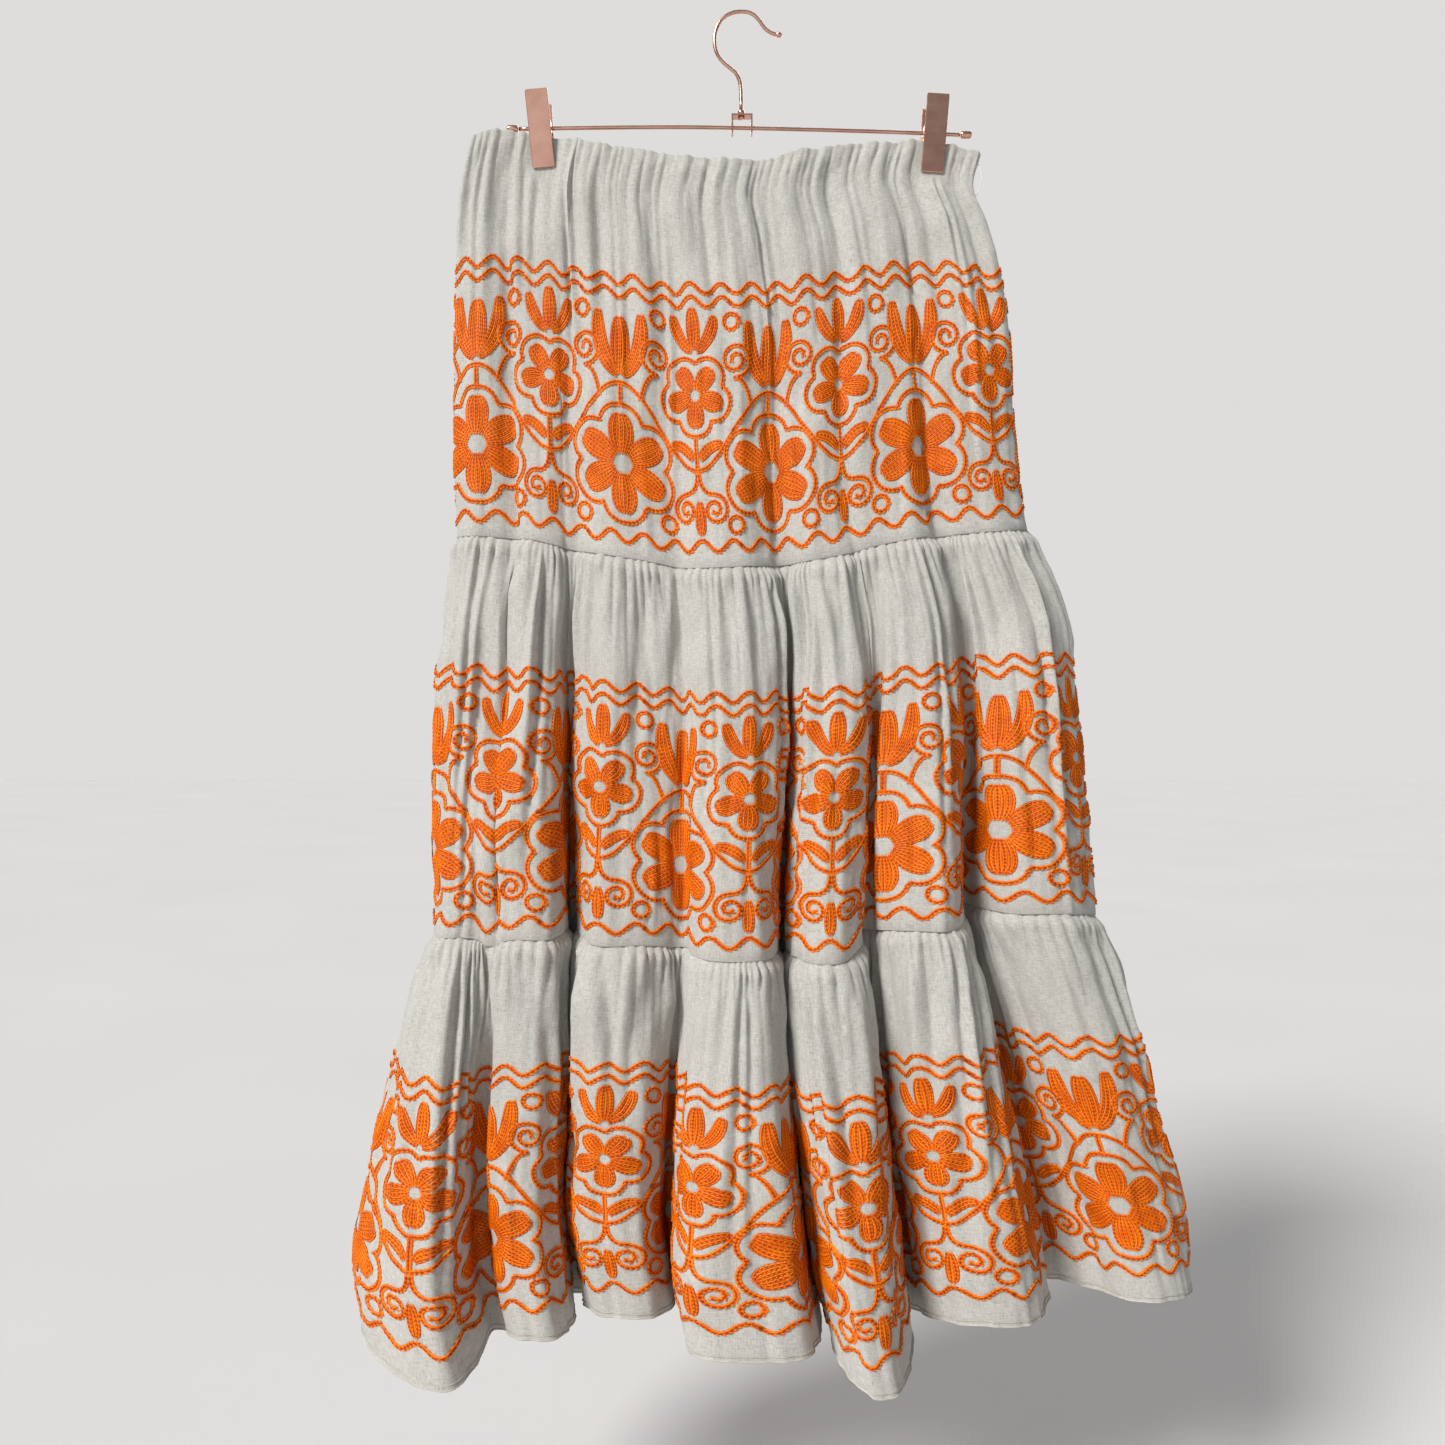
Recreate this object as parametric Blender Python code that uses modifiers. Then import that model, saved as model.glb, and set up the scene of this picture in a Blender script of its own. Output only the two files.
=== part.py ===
"""Tiered maxi skirt, hanging from the two clips of a wire hanger.

Millimetres are used in the tables and functions and are turned into metres when an object
is made. The origin is the inside of the hook's top, where it hangs. The front of the skirt
faces -Y, +X is to the right of somebody looking at it, and the hanger lies in the plane Y = 0.
"""

import math
from collections import namedtuple

import bmesh
import bpy
import numpy as np
from mathutils import Matrix

MM = 0.001

# Cloth walls
WALL = 1.4
CASING_WALL = 2.2
SIDE_WALL = 1.0
CASING_END = 0.09
PIECE_GAP = 0.3
SEAM_DROP = 0.8

# Level numbers of the rings, counted down the skirt: waist, two tier seams, hem
WAIST = 0
SEAM_1 = 1
SEAM_2 = 2
HEM = 3

# Front folds at each level. Each row is one fold, from the left side of the skirt to the
# right: where it ends in the valley on its right, how far forward its crest stands, how far
# its edges lap over the valleys beside it (less than nothing where an edge slopes in), and
# the share of its width that slopes up to the crest. The last row ends at the right side.
Start = namedtuple("Start", "x z")
Fold = namedtuple("Fold", "name end_x end_y end_z crest_y crest_z lap_left lap_right slope")
FRONT_START = {
    WAIST: Start(-215.0, -97.5),
    SEAM_1: Start(-225.0, -413.5),
    SEAM_2: Start(-240.0, -724.0),
    HEM: Start(-290.0, -1000.0),
}
FRONT_FOLDS = {
    WAIST: (
        Fold("a", -180.0, -3.2, -97.5, -3.6, -95.5, 0.0, 0.0, 0.34),
        Fold("b", -134.0, -4.8, -103.0, -3.1, -99.5, 0.0, 0.0, 0.34),
        Fold("c", -66.0, -9.6, -116.5, -10.2, -109.5, 0.0, 0.0, 0.34),
        Fold("d", 18.0, -11.0, -117.0, -13.2, -120.5, 0.0, 0.0, 0.34),
        Fold("e", 76.0, -9.0, -107.5, -12.0, -111.5, 0.0, 0.0, 0.34),
        Fold("f", 128.0, -3.4, -101.5, -6.2, -103.0, 0.0, 0.0, 0.34),
        Fold("g", 187.0, 0.0, -108.5, -3.1, -102.5, 0.0, 0.0, 0.34),
    ),
    SEAM_1: (
        Fold("a", -178.0, -29.0, -420.0, -31.0, -419.0, 0.0, 0.0, 0.34),
        Fold("b", -132.0, -33.0, -428.0, -40.0, -425.0, 0.0, 0.0, 0.34),
        Fold("c", -52.0, -43.0, -440.0, -47.0, -436.0, 0.0, 0.0, 0.34),
        Fold("d", 30.0, -38.0, -442.5, -55.0, -444.0, 0.0, 0.0, 0.34),
        Fold("e", 88.0, -43.0, -431.0, -48.0, -438.5, 0.0, 0.0, 0.34),
        Fold("f", 152.0, -27.0, -415.0, -42.0, -424.0, 0.0, 0.0, 0.34),
        Fold("g", 222.0, 0.0, -407.0, -31.0, -412.5, 0.0, 0.0, 0.34),
    ),
    SEAM_2: (
        Fold("a", -188.0, -56.0, -724.5, -64.0, -719.0, 0.0, 0.0, 0.30),
        Fold("b", -134.0, -10.0, -712.0, -72.0, -719.0, 0.0, 6.0, 0.28),
        Fold("c", -49.0, -56.0, -727.0, -70.0, -723.5, 4.0, 0.0, 0.30),
        Fold("d", 27.0, -10.0, -728.0, -90.0, -731.0, 0.0, 7.0, 0.26),
        Fold("e", 92.0, -38.0, -716.5, -84.0, -734.0, 5.0, 3.0, 0.34),
        Fold("f", 171.0, -8.0, -701.0, -74.0, -712.0, 0.0, 6.0, 0.30),
        Fold("g", 273.0, 0.0, -712.0, -58.0, -702.0, 3.0, 0.0, 0.30),
    ),
    HEM: (
        Fold("a", -182.0, -62.0, -1010.0, -114.0, -1024.0, -26.0, 10.0, 0.36),
        Fold("b", -130.0, -14.0, -1004.0, -94.0, -1001.0, -4.0, 10.0, 0.28),
        Fold("c", -47.0, -24.0, -1000.0, -84.0, -990.0, 2.0, 6.0, 0.30),
        Fold("d", 62.0, -16.0, -1008.0, -114.0, -1004.0, 8.0, 2.0, 0.16),
        Fold("e", 122.0, -28.0, -1010.0, -130.0, -1024.0, 9.0, 10.0, 0.38),
        Fold("f", 236.0, -12.0, -994.0, -94.0, -991.0, 0.0, 6.0, 0.30),
        Fold("g", 346.0, 0.0, -994.0, -66.0, -986.0, -16.0, 6.0, 0.34),
    ),
}

# Back folds: share of the width each takes, and of the level's depth
BackFold = namedtuple("BackFold", "name width depth")
BACK_FOLDS = (
    BackFold("a", 1.15, 0.80),
    BackFold("b", 0.85, 0.95),
    BackFold("c", 1.05, 1.00),
    BackFold("d", 0.90, 0.82),
    BackFold("e", 1.10, 1.00),
    BackFold("f", 0.80, 0.90),
    BackFold("g", 1.00, 1.00),
    BackFold("h", 1.12, 0.86),
    BackFold("i", 0.86, 1.00),
    BackFold("j", 1.17, 0.84),
)
# Back wall at each level: how far back it stands near the sides and in the middle, how
# deep its folds are, how far they lap over their valleys, and its height in the middle
BackLevel = namedtuple("BackLevel", "side_y middle_y depth lap middle_z")
BACK_LEVELS = {
    WAIST: BackLevel(3.1, 11.5, 0.2, 0.0, -119.0),
    SEAM_1: BackLevel(12.0, 20.0, 15.0, 0.0, -438.0),
    SEAM_2: BackLevel(10.0, 16.0, 36.0, 1.0, -722.0),
    HEM: BackLevel(10.0, 18.0, 44.0, 3.0, -1006.0),
}
BACK_MIDDLE_X = -6.0
BACK_HALF_WIDTH = 142.0

# Side outlines seen from the front, at heights between the levels
Outline = namedtuple("Outline", "level left right")
OUTLINE = (
    Outline(0.00, -215.0, 187.0),
    Outline(0.09, -221.0, 181.0),
    Outline(0.20, -225.0, 193.0),
    Outline(0.42, -227.0, 207.0),
    Outline(0.70, -228.0, 212.0),
    Outline(1.00, -225.0, 222.0),
    Outline(1.22, -233.0, 247.0),
    Outline(1.45, -236.0, 259.0),
    Outline(1.72, -239.0, 265.0),
    Outline(2.00, -240.0, 273.0),
    Outline(2.10, -247.5, 280.5),
    Outline(2.30, -263.0, 296.0),
    Outline(2.55, -281.0, 316.0),
    Outline(2.80, -294.0, 336.0),
    Outline(3.00, -290.0, 346.0),
)

# Shape of one fold: half the width of the rounded bottom of a valley, and how far up its
# slope an edge is halfway to the crest
VALLEY_HALF = 4.5
EDGE_SHARE = 0.45
BACK_SLOPE = 0.34
SIDE_SHARE = 0.04

# Tiers: rows down each tier, gathers on each panel, and how far the gathers stand out
# where they are sewn in, at their fullest and at the tier's foot
Tier = namedtuple("Tier", "name top rows gathers columns sewn full foot")
TIERS = (
    Tier("tier1", WAIST, (0.0, 0.09, 0.20, 0.42, 0.70, 1.0), 28, 84, 1.3, 1.7, 0.0),
    Tier("tier2", SEAM_1, (0.0, 0.08, 0.22, 0.45, 0.72, 1.0), 32, 96, 1.8, 3.0, 0.3),
    Tier("tier3", SEAM_2, (0.0, 0.10, 0.30, 0.55, 0.80, 1.0), 40, 120, 1.8, 3.2, 0.3),
)
GATHER_FULL_AT = 0.08
GATHER_FADE = 1.8

# How fast the folds deepen down each tier: under 1 is sooner
DEPTH_POWER = (1.2, 0.95, 0.85)

# Hanger
WIRE_RADIUS = 1.5
BAR_PATH = ((-178.0, -91.1), (-98.0, -89.9), (-43.0, -89.7), (0.0, -90.4), (44.0, -91.4),
            (107.0, -93.2), (170.5, -95.7))
BEAD_LENGTH = 9.0
BEAD_RADIUS = 2.9
HOOK_PATH = ((25.6, -16.3), (22.8, -15.8), (17.2, -12.2), (12.8, -6.4), (8.9, -1.9),
             (4.4, 0.7), (0.0, 1.5), (-4.6, 1.5), (-9.4, 0.5), (-15.3, -2.6), (-20.0, -8.1),
             (-22.5, -14.1), (-23.2, -20.4), (-22.7, -26.9), (-20.4, -33.2), (-16.0, -38.8),
             (-10.5, -43.4), (-6.1, -47.6), (-3.4, -53.4), (-2.4, -61.2), (-2.2, -70.0))
STEM_X = -2.2
COLLAR_TOP = -77.6
COLLAR_RADIUS = 2.6
HEAD_RADIUS = 2.8
HEAD_HEIGHT = 1.6
TIP_RADIUS = 2.2
BRACKET_LEFT = -9.9
BRACKET_RIGHT = 6.7
BRACKET_TOP = -80.6
BRACKET_FOOT = -95.4
BRACKET_DEPTH = 8.0
SHEET_METAL = 1.3
CUT_PAST = 1.0
BAR_HOLE_RADIUS = 1.95

# Clips: the middle of the jaws' lower edge, and the lean from upright in degrees
Clip = namedtuple("Clip", "name foot_x foot_z lean")
CLIPS = (
    Clip("clip_left", -157.5, -123.4, -5.0),
    Clip("clip_right", 147.8, -127.2, 3.6),
)
CLIP_WIDTH = 17.6
CLIP_HEIGHT = 57.8
CLIP_FLARE = 9.0
PLATE = 1.3
PLATE_ROUNDING = 0.4
JAW_Y = 3.7
EAR_HEIGHT = 8.4
EAR_REACH = 2.7
SPRING_WIRE = 0.5
SPRING_RADIUS = 3.0
SPRING_TURNS = 2.5
SPRING_PITCH = 2.4
SPRING_STEPS = 10
SPRING_LEG = 12.0

LINEN = (0.66, 0.63, 0.56, 1.0)
ROSE_GOLD = (0.80, 0.46, 0.36, 1.0)


def clear_scene():
    for item in list(bpy.data.objects):
        bpy.data.objects.remove(item, do_unlink=True)
    for group in list(bpy.data.collections):
        bpy.data.collections.remove(group)


def new_collection(name):
    group = bpy.data.collections.new(name)
    bpy.context.scene.collection.children.link(group)
    return group


def give_material(item, color, roughness, metallic):
    material = bpy.data.materials.new(item.name + "_material")
    material.use_nodes = True
    shader = material.node_tree.nodes["Principled BSDF"]
    shader.inputs["Base Color"].default_value = color
    shader.inputs["Roughness"].default_value = roughness
    shader.inputs["Metallic"].default_value = metallic
    item.data.materials.append(material)


def add_object(name, data, group):
    item = bpy.data.objects.new(name, data)
    group.objects.link(item)
    return item


# Rings of the skirt


def fold_edge(slope, lap, at_side):
    """Distance of a fold's edge from its valley, as a share of its width, and its lap."""
    if at_side:
        return SIDE_SHARE, 0.0
    return EDGE_SHARE * slope, lap


def front_knots(level):
    """Points of the front's path at a level, from the left side to the right side."""
    x0 = FRONT_START[level].x
    y0 = 0.0
    z0 = FRONT_START[level].z
    knots = [(x0, y0, z0)]
    folds = FRONT_FOLDS[level]
    for index, fold in enumerate(folds):
        width = fold.end_x - x0
        shift = 0.5 * (fold.lap_right - fold.lap_left)
        share_l, lap_l = fold_edge(fold.slope, fold.lap_left, index == 0)
        share_r, lap_r = fold_edge(fold.slope, fold.lap_right, index == len(folds) - 1)
        knots.append((x0 + share_l * width - lap_l, 0.5 * (y0 + fold.crest_y),
                      0.5 * (z0 + fold.crest_z)))
        knots.append((x0 + fold.slope * width + shift, fold.crest_y, fold.crest_z))
        knots.append((fold.end_x - fold.slope * width + shift, fold.crest_y, fold.crest_z))
        knots.append((fold.end_x - share_r * width + lap_r, 0.5 * (fold.end_y + fold.crest_y),
                      0.5 * (fold.end_z + fold.crest_z)))
        if index == len(folds) - 1:
            knots.append((fold.end_x, fold.end_y, fold.end_z))
        else:
            knots.append((fold.end_x - VALLEY_HALF, fold.end_y, fold.end_z))
            knots.append((fold.end_x + VALLEY_HALF, fold.end_y, fold.end_z))
        x0 = fold.end_x
        y0 = fold.end_y
        z0 = fold.end_z
    return np.array(knots)


def back_knots(level):
    """Points of the back's path at a level, from the right side to the left side."""
    row = BACK_LEVELS[level]
    left = FRONT_START[level]
    right = FRONT_FOLDS[level][-1]
    total = sum(fold.width for fold in BACK_FOLDS)

    def valley(x):
        bow = max(0.0, 1.0 - ((x - BACK_MIDDLE_X) / BACK_HALF_WIDTH) ** 2)
        return row.side_y + (row.middle_y - row.side_y) * bow

    def height(x):
        share = (x - left.x) / (right.end_x - left.x)
        straight = left.z + (right.end_z - left.z) * share
        dip = row.middle_z - 0.5 * (left.z + right.end_z)
        return straight + dip * math.sin(math.pi * share)

    x0 = left.x
    y0 = 0.0
    knots = [(x0, y0, left.z)]
    for index, fold in enumerate(BACK_FOLDS):
        width = (right.end_x - left.x) * fold.width / total
        x1 = x0 + width
        last = index == len(BACK_FOLDS) - 1
        y1 = 0.0 if last else valley(x1)
        crest = valley(x0 + 0.5 * width) + row.depth * fold.depth
        share_l, lap_l = fold_edge(BACK_SLOPE, row.lap, index == 0)
        share_r, lap_r = fold_edge(BACK_SLOPE, row.lap, last)
        for x, y in ((x0 + share_l * width - lap_l, 0.5 * (y0 + crest)),
                     (x0 + BACK_SLOPE * width, crest),
                     (x1 - BACK_SLOPE * width, crest),
                     (x1 - share_r * width + lap_r, 0.5 * (y1 + crest))):
            knots.append((x, y, height(x)))
        for x in (x1,) if last else (x1 - VALLEY_HALF, x1 + VALLEY_HALF):
            knots.append((x, y1, height(x)))
        x0 = x1
        y0 = y1
    return np.array(knots)[::-1]


def depth_share(level):
    """How far the folds' depth has grown from one level to the next."""
    base = min(int(level), SEAM_2)
    share = level - base
    if base == WAIST:
        share = max(0.0, (share - CASING_END) / (1.0 - CASING_END))
    return share ** DEPTH_POWER[base]


def outlined(knots, left, right, level):
    """The knots moved sideways so that the skirt's sides follow the outline."""
    levels = [row.level for row in OUTLINE]
    want_left = np.interp(level, levels, [row.left for row in OUTLINE])
    want_right = np.interp(level, levels, [row.right for row in OUTLINE])
    share = np.clip((knots[:, 0] - left) / (right - left), 0.0, 1.0)
    moved = knots.copy()
    moved[:, 0] += (want_left - left) * (1.0 - share) + (want_right - right) * share
    return moved


def ring_knots(level):
    """Closed ring of knots at any height, with how many of them are on the front."""
    base = min(int(level), SEAM_2)
    share = level - base
    depth = depth_share(level)
    sides = []
    for knots_at in (front_knots, back_knots):
        upper = knots_at(base)
        lower = knots_at(base + 1)
        knots = upper + (lower - upper) * share
        knots[:, 1] = upper[:, 1] + (lower[:, 1] - upper[:, 1]) * depth
        sides.append(knots)
    left = sides[0][0, 0]
    right = sides[0][-1, 0]
    sides = [outlined(knots, left, right, level) for knots in sides]
    ring = np.vstack([sides[0], sides[1][1:-1]])
    return ring, len(sides[0])


def smooth_ring(knots, steps=8):
    """Smooth closed curve through the knots, with the same number of steps between them."""
    count = len(knots)
    out = []
    for i in range(count):
        p0, p1, p2, p3 = (knots[(i + k) % count] for k in (-1, 0, 1, 2))
        t1 = max(np.linalg.norm(p1 - p0), 1e-6) ** 0.5
        t2 = t1 + max(np.linalg.norm(p2 - p1), 1e-6) ** 0.5
        t3 = t2 + max(np.linalg.norm(p3 - p2), 1e-6) ** 0.5
        for step in range(steps):
            t = t1 + (t2 - t1) * step / steps
            a1 = (t1 - t) / t1 * p0 + t / t1 * p1
            a2 = (t2 - t) / (t2 - t1) * p1 + (t - t1) / (t2 - t1) * p2
            a3 = (t3 - t) / (t3 - t2) * p2 + (t - t2) / (t3 - t2) * p3
            b1 = (t2 - t) / t2 * a1 + t / t2 * a2
            b2 = (t3 - t) / (t3 - t1) * a2 + (t - t1) / (t3 - t1) * a3
            out.append((t2 - t) / (t2 - t1) * b1 + (t - t1) / (t2 - t1) * b2)
    return np.array(out)


def panel_path(level, front):
    """Dense path of one panel at a height, its lengths, and the lengths at its knots."""
    steps = 8
    knots, front_count = ring_knots(level)
    ring = smooth_ring(knots, steps)
    ring = np.vstack([ring, ring[:1]])
    split = (front_count - 1) * steps
    path = ring[: split + 1] if front else ring[split:]
    spans = np.linalg.norm(np.diff(path[:, :2], axis=0), axis=1)
    lengths = np.concatenate([[0.0], np.cumsum(spans)])
    return path, lengths, lengths[::steps]


def cloth_shares(tier, front):
    """Share of the cloth's width at each knot, held down the whole tier."""
    shares = []
    for level in (tier.top, tier.top + 1):
        at_knots = panel_path(level, front)[2]
        shares.append(at_knots / at_knots[-1])
    return 0.5 * (shares[0] + shares[1])


def gather_height(tier, share):
    """How far the gathers stand out at a share of the tier's height."""
    if share < GATHER_FULL_AT:
        return tier.sewn + (tier.full - tier.sewn) * share / GATHER_FULL_AT
    fade = (1.0 - (share - GATHER_FULL_AT) / (1.0 - GATHER_FULL_AT)) ** GATHER_FADE
    return tier.foot + (tier.full - tier.foot) * fade


def gathers(tier, share, across, x):
    """Gathers of one row: ridges of uneven height, pressed flat at the sides and clips."""
    turn = across * tier.gathers
    ridge = 0.5 + 0.5 * np.cos(2.0 * math.pi * turn)
    uneven = 0.75 + 0.25 * np.sin(2.4 * np.round(turn) + tier.top)
    height = gather_height(tier, share) * ridge * uneven
    height *= np.clip(np.minimum(across, 1.0 - across) * tier.gathers, 0.0, 1.0)
    if tier.top == WAIST and share <= CASING_END:
        for clip in CLIPS:
            height *= np.clip((np.abs(x - clip.foot_x) - 13.0) / 12.0, 0.0, 1.0)
    return height


def wall_thickness(tier, share):
    """Thickness across one row: thinner at the side seams, where the wall turns sharply."""
    full = CASING_WALL if tier.top == WAIST and share <= CASING_END else WALL
    column = np.arange(tier.columns + 1)
    from_side = np.minimum(column, tier.columns - column)
    return SIDE_WALL + (full - SIDE_WALL) * np.clip(0.5 * (from_side - 1.0), 0.0, 1.0)


def panel_rows(tier, front):
    """Outer and inner points of one panel, row by row down the tier."""
    across = np.linspace(0.0, 1.0, tier.columns + 1)
    at_knots = cloth_shares(tier, front)
    outward = -1.0 if front else 1.0
    outer_rows = []
    inner_rows = []
    for share in tier.rows:
        path, lengths, knot_lengths = panel_path(tier.top + share, front)
        along = np.interp(across, at_knots, knot_lengths)
        points = np.stack([np.interp(along, lengths, path[:, k]) for k in range(3)], axis=1)
        tangent = np.gradient(points[:, :2], axis=0)
        tangent /= np.linalg.norm(tangent, axis=1)[:, None]
        normal = np.stack([tangent[:, 1], -tangent[:, 0]], axis=1)
        points[:, :2] += normal * gathers(tier, share, across, points[:, 0])[:, None]
        tangent = np.gradient(points[:, :2], axis=0)
        tangent /= np.linalg.norm(tangent, axis=1)[:, None]
        normal = np.stack([tangent[:, 1], -tangent[:, 0]], axis=1)
        for end, sign in ((0, outward), (-1, -outward)):
            normal[end] = (sign, 0.0)
            points[end, 1] = outward * 0.5 * PIECE_GAP
        if share == 0.0 and tier.top != WAIST:
            points[:, 2] -= SEAM_DROP
        inner = points.copy()
        inner[:, :2] -= normal * wall_thickness(tier, share)[:, None]
        outer_rows.append(points)
        inner_rows.append(inner)
    return outer_rows, inner_rows


def loft_wall(name, outer_rows, inner_rows, group):
    """Closed cloth wall lofted through the rows of its outer and inner faces."""
    shell = bmesh.new()
    outer = [[shell.verts.new(point * MM) for point in row] for row in outer_rows]
    inner = [[shell.verts.new(point * MM) for point in row] for row in inner_rows]
    last_row = len(outer) - 1
    last_column = len(outer[0]) - 1
    for r in range(last_row):
        for c in range(last_column):
            shell.faces.new((outer[r][c], outer[r + 1][c], outer[r + 1][c + 1]))
            shell.faces.new((outer[r][c], outer[r + 1][c + 1], outer[r][c + 1]))
            shell.faces.new((inner[r][c], inner[r + 1][c + 1], inner[r + 1][c]))
            shell.faces.new((inner[r][c], inner[r][c + 1], inner[r + 1][c + 1]))
    for c in range(last_column):
        shell.faces.new((outer[0][c], outer[0][c + 1], inner[0][c + 1], inner[0][c]))
        shell.faces.new((outer[-1][c], inner[-1][c], inner[-1][c + 1], outer[-1][c + 1]))
    for r in range(last_row):
        shell.faces.new((outer[r][0], inner[r][0], inner[r + 1][0], outer[r + 1][0]))
        shell.faces.new((outer[r][-1], outer[r + 1][-1], inner[r + 1][-1], inner[r][-1]))
    bmesh.ops.recalc_face_normals(shell, faces=shell.faces)
    mesh = bpy.data.meshes.new(name)
    shell.to_mesh(mesh)
    shell.free()
    item = add_object(name, mesh, group)
    give_material(item, LINEN, 0.9, 0.0)
    return item


def add_skirt(group):
    for tier in TIERS:
        for suffix, front in (("_front", True), ("_back", False)):
            outer_rows, inner_rows = panel_rows(tier, front)
            loft_wall(tier.name + suffix, outer_rows, inner_rows, group)


# Hanger


def add_wire(name, points, radii, radius, group, resolution=2):
    """Round wire through points in the plane of the hanger, or in space, with its own radii."""
    curve = bpy.data.curves.new(name, "CURVE")
    curve.dimensions = "3D"
    curve.bevel_depth = radius * MM
    curve.bevel_resolution = resolution
    curve.use_fill_caps = True
    spline = curve.splines.new("POLY")
    spline.points.add(len(points) - 1)
    for knot, point, share in zip(spline.points, points, radii):
        x, y, z = point if len(point) == 3 else (point[0], 0.0, point[1])
        knot.co = (x * MM, y * MM, z * MM, 1.0)
        knot.radius = share
    item = add_object(name, curve, group)
    give_material(item, ROSE_GOLD, 0.25, 1.0)
    return item


def bar_height(x):
    return float(np.interp(x, [p[0] for p in BAR_PATH], [p[1] for p in BAR_PATH]))


def add_bar(group):
    add_wire("hanger_bar", BAR_PATH, [1.0] * len(BAR_PATH), WIRE_RADIUS, group)
    for name, end, toward in (("bar_bead_left", 0, -1.0), ("bar_bead_right", -1, 1.0)):
        x, z = BAR_PATH[end]
        x += toward * PIECE_GAP
        length = toward * BEAD_LENGTH
        shape = ((0.0, 0.55), (0.06, 0.82), (0.25, 1.0), (0.75, 1.0), (0.94, 0.82), (1.0, 0.45))
        points = [(x + length * share, z) for share, _ in shape]
        add_wire(name, points, [size for _, size in shape], BEAD_RADIUS, group)


def add_hook(group):
    points = list(HOOK_PATH)
    radii = [1.0] * len(points)
    tip = TIP_RADIUS / WIRE_RADIUS
    tip_x, tip_z = points[0]
    for reach, share in ((1.2, tip), (3.0, tip * 0.85), (3.8, tip * 0.4)):
        points.insert(0, (tip_x + reach * 0.98, tip_z - reach * 0.2))
        radii.insert(0, share)
    collar = COLLAR_RADIUS / WIRE_RADIUS
    head = HEAD_RADIUS / WIRE_RADIUS
    collar_foot = BRACKET_TOP + PIECE_GAP
    head_top = BRACKET_TOP - SHEET_METAL - PIECE_GAP
    for z, share in ((COLLAR_TOP, 1.0), (COLLAR_TOP - 0.5, collar), (collar_foot, collar),
                     (collar_foot - 0.02, 1.0), (head_top + 0.02, 1.0), (head_top, head),
                     (head_top - 0.7 * HEAD_HEIGHT, head * 0.9),
                     (head_top - HEAD_HEIGHT, head * 0.5)):
        points.append((STEM_X, z))
        radii.append(share)
    add_wire("hanger_hook", points, radii, WIRE_RADIUS, group)


def box_mesh(name, low, high):
    shape = bmesh.new()
    size = [(h - l) * MM for l, h in zip(low, high)]
    middle = [0.5 * (h + l) * MM for l, h in zip(low, high)]
    place = Matrix.Translation(middle) @ Matrix.Diagonal((size[0], size[1], size[2], 1.0))
    bmesh.ops.create_cube(shape, size=1.0, matrix=place)
    mesh = bpy.data.meshes.new(name)
    shape.to_mesh(mesh)
    shape.free()
    return mesh


def rod_mesh(name, radius, length, center, axis, segments=12):
    """Round cutter along X or Z."""
    shape = bmesh.new()
    turn = Matrix.Rotation(math.radians(90.0), 4, "Y") if axis == "X" else Matrix.Identity(4)
    place = Matrix.Translation([value * MM for value in center]) @ turn
    bmesh.ops.create_cone(shape, cap_ends=True, segments=segments, radius1=radius * MM,
                          radius2=radius * MM, depth=length * MM, matrix=place)
    mesh = bpy.data.meshes.new(name)
    shape.to_mesh(mesh)
    shape.free()
    return mesh


def combine(item, mesh, cutters, operation="DIFFERENCE"):
    """Cut the mesh's shape out of an object, or join it on with UNION."""
    cutter = add_object(mesh.name, mesh, cutters)
    cutter.hide_render = True
    cutter.display_type = "WIRE"
    step = item.modifiers.new(mesh.name, "BOOLEAN")
    step.operation = operation
    step.solver = "EXACT"
    step.object = cutter


def add_bracket(group, cutters):
    half = 0.5 * BRACKET_DEPTH
    mesh = box_mesh("hook_bracket", (BRACKET_LEFT, -half, BRACKET_FOOT),
                    (BRACKET_RIGHT, half, BRACKET_TOP))
    item = add_object("hook_bracket", mesh, group)
    give_material(item, ROSE_GOLD, 0.25, 1.0)
    inside_low = (BRACKET_LEFT + SHEET_METAL, -half - CUT_PAST, BRACKET_FOOT - CUT_PAST)
    inside_high = (BRACKET_RIGHT - SHEET_METAL, half + CUT_PAST, BRACKET_TOP - SHEET_METAL)
    combine(item, box_mesh("bracket_inside", inside_low, inside_high), cutters)
    middle = 0.5 * (BRACKET_LEFT + BRACKET_RIGHT)
    width = BRACKET_RIGHT - BRACKET_LEFT
    combine(item, rod_mesh("bracket_bar_hole", BAR_HOLE_RADIUS, 2.0 * width,
                           (middle, 0.0, bar_height(middle)), "X"), cutters)
    combine(item, rod_mesh("bracket_stem_hole", BAR_HOLE_RADIUS, 4.0 * SHEET_METAL,
                           (STEM_X, 0.0, BRACKET_TOP), "Z"), cutters)


def plate_mesh(name, facing):
    """Flat clip plate that leans away from the bar, on the middle of its lower edge."""
    shape = bmesh.new()
    half = 0.5 * CLIP_WIDTH
    profile = ((JAW_Y, 0.0), (JAW_Y + CLIP_FLARE, CLIP_HEIGHT),
               (JAW_Y + CLIP_FLARE + PLATE, CLIP_HEIGHT), (JAW_Y + PLATE, 0.0))
    verts = [shape.verts.new((-half * MM, facing * y * MM, z * MM)) for y, z in profile]
    side = shape.faces.new(verts)
    grown = bmesh.ops.extrude_face_region(shape, geom=[side])
    moved = [part for part in grown["geom"] if isinstance(part, bmesh.types.BMVert)]
    bmesh.ops.translate(shape, verts=moved, vec=(CLIP_WIDTH * MM, 0.0, 0.0))
    bmesh.ops.recalc_face_normals(shape, faces=shape.faces)
    mesh = bpy.data.meshes.new(name)
    shape.to_mesh(mesh)
    shape.free()
    return mesh


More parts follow.
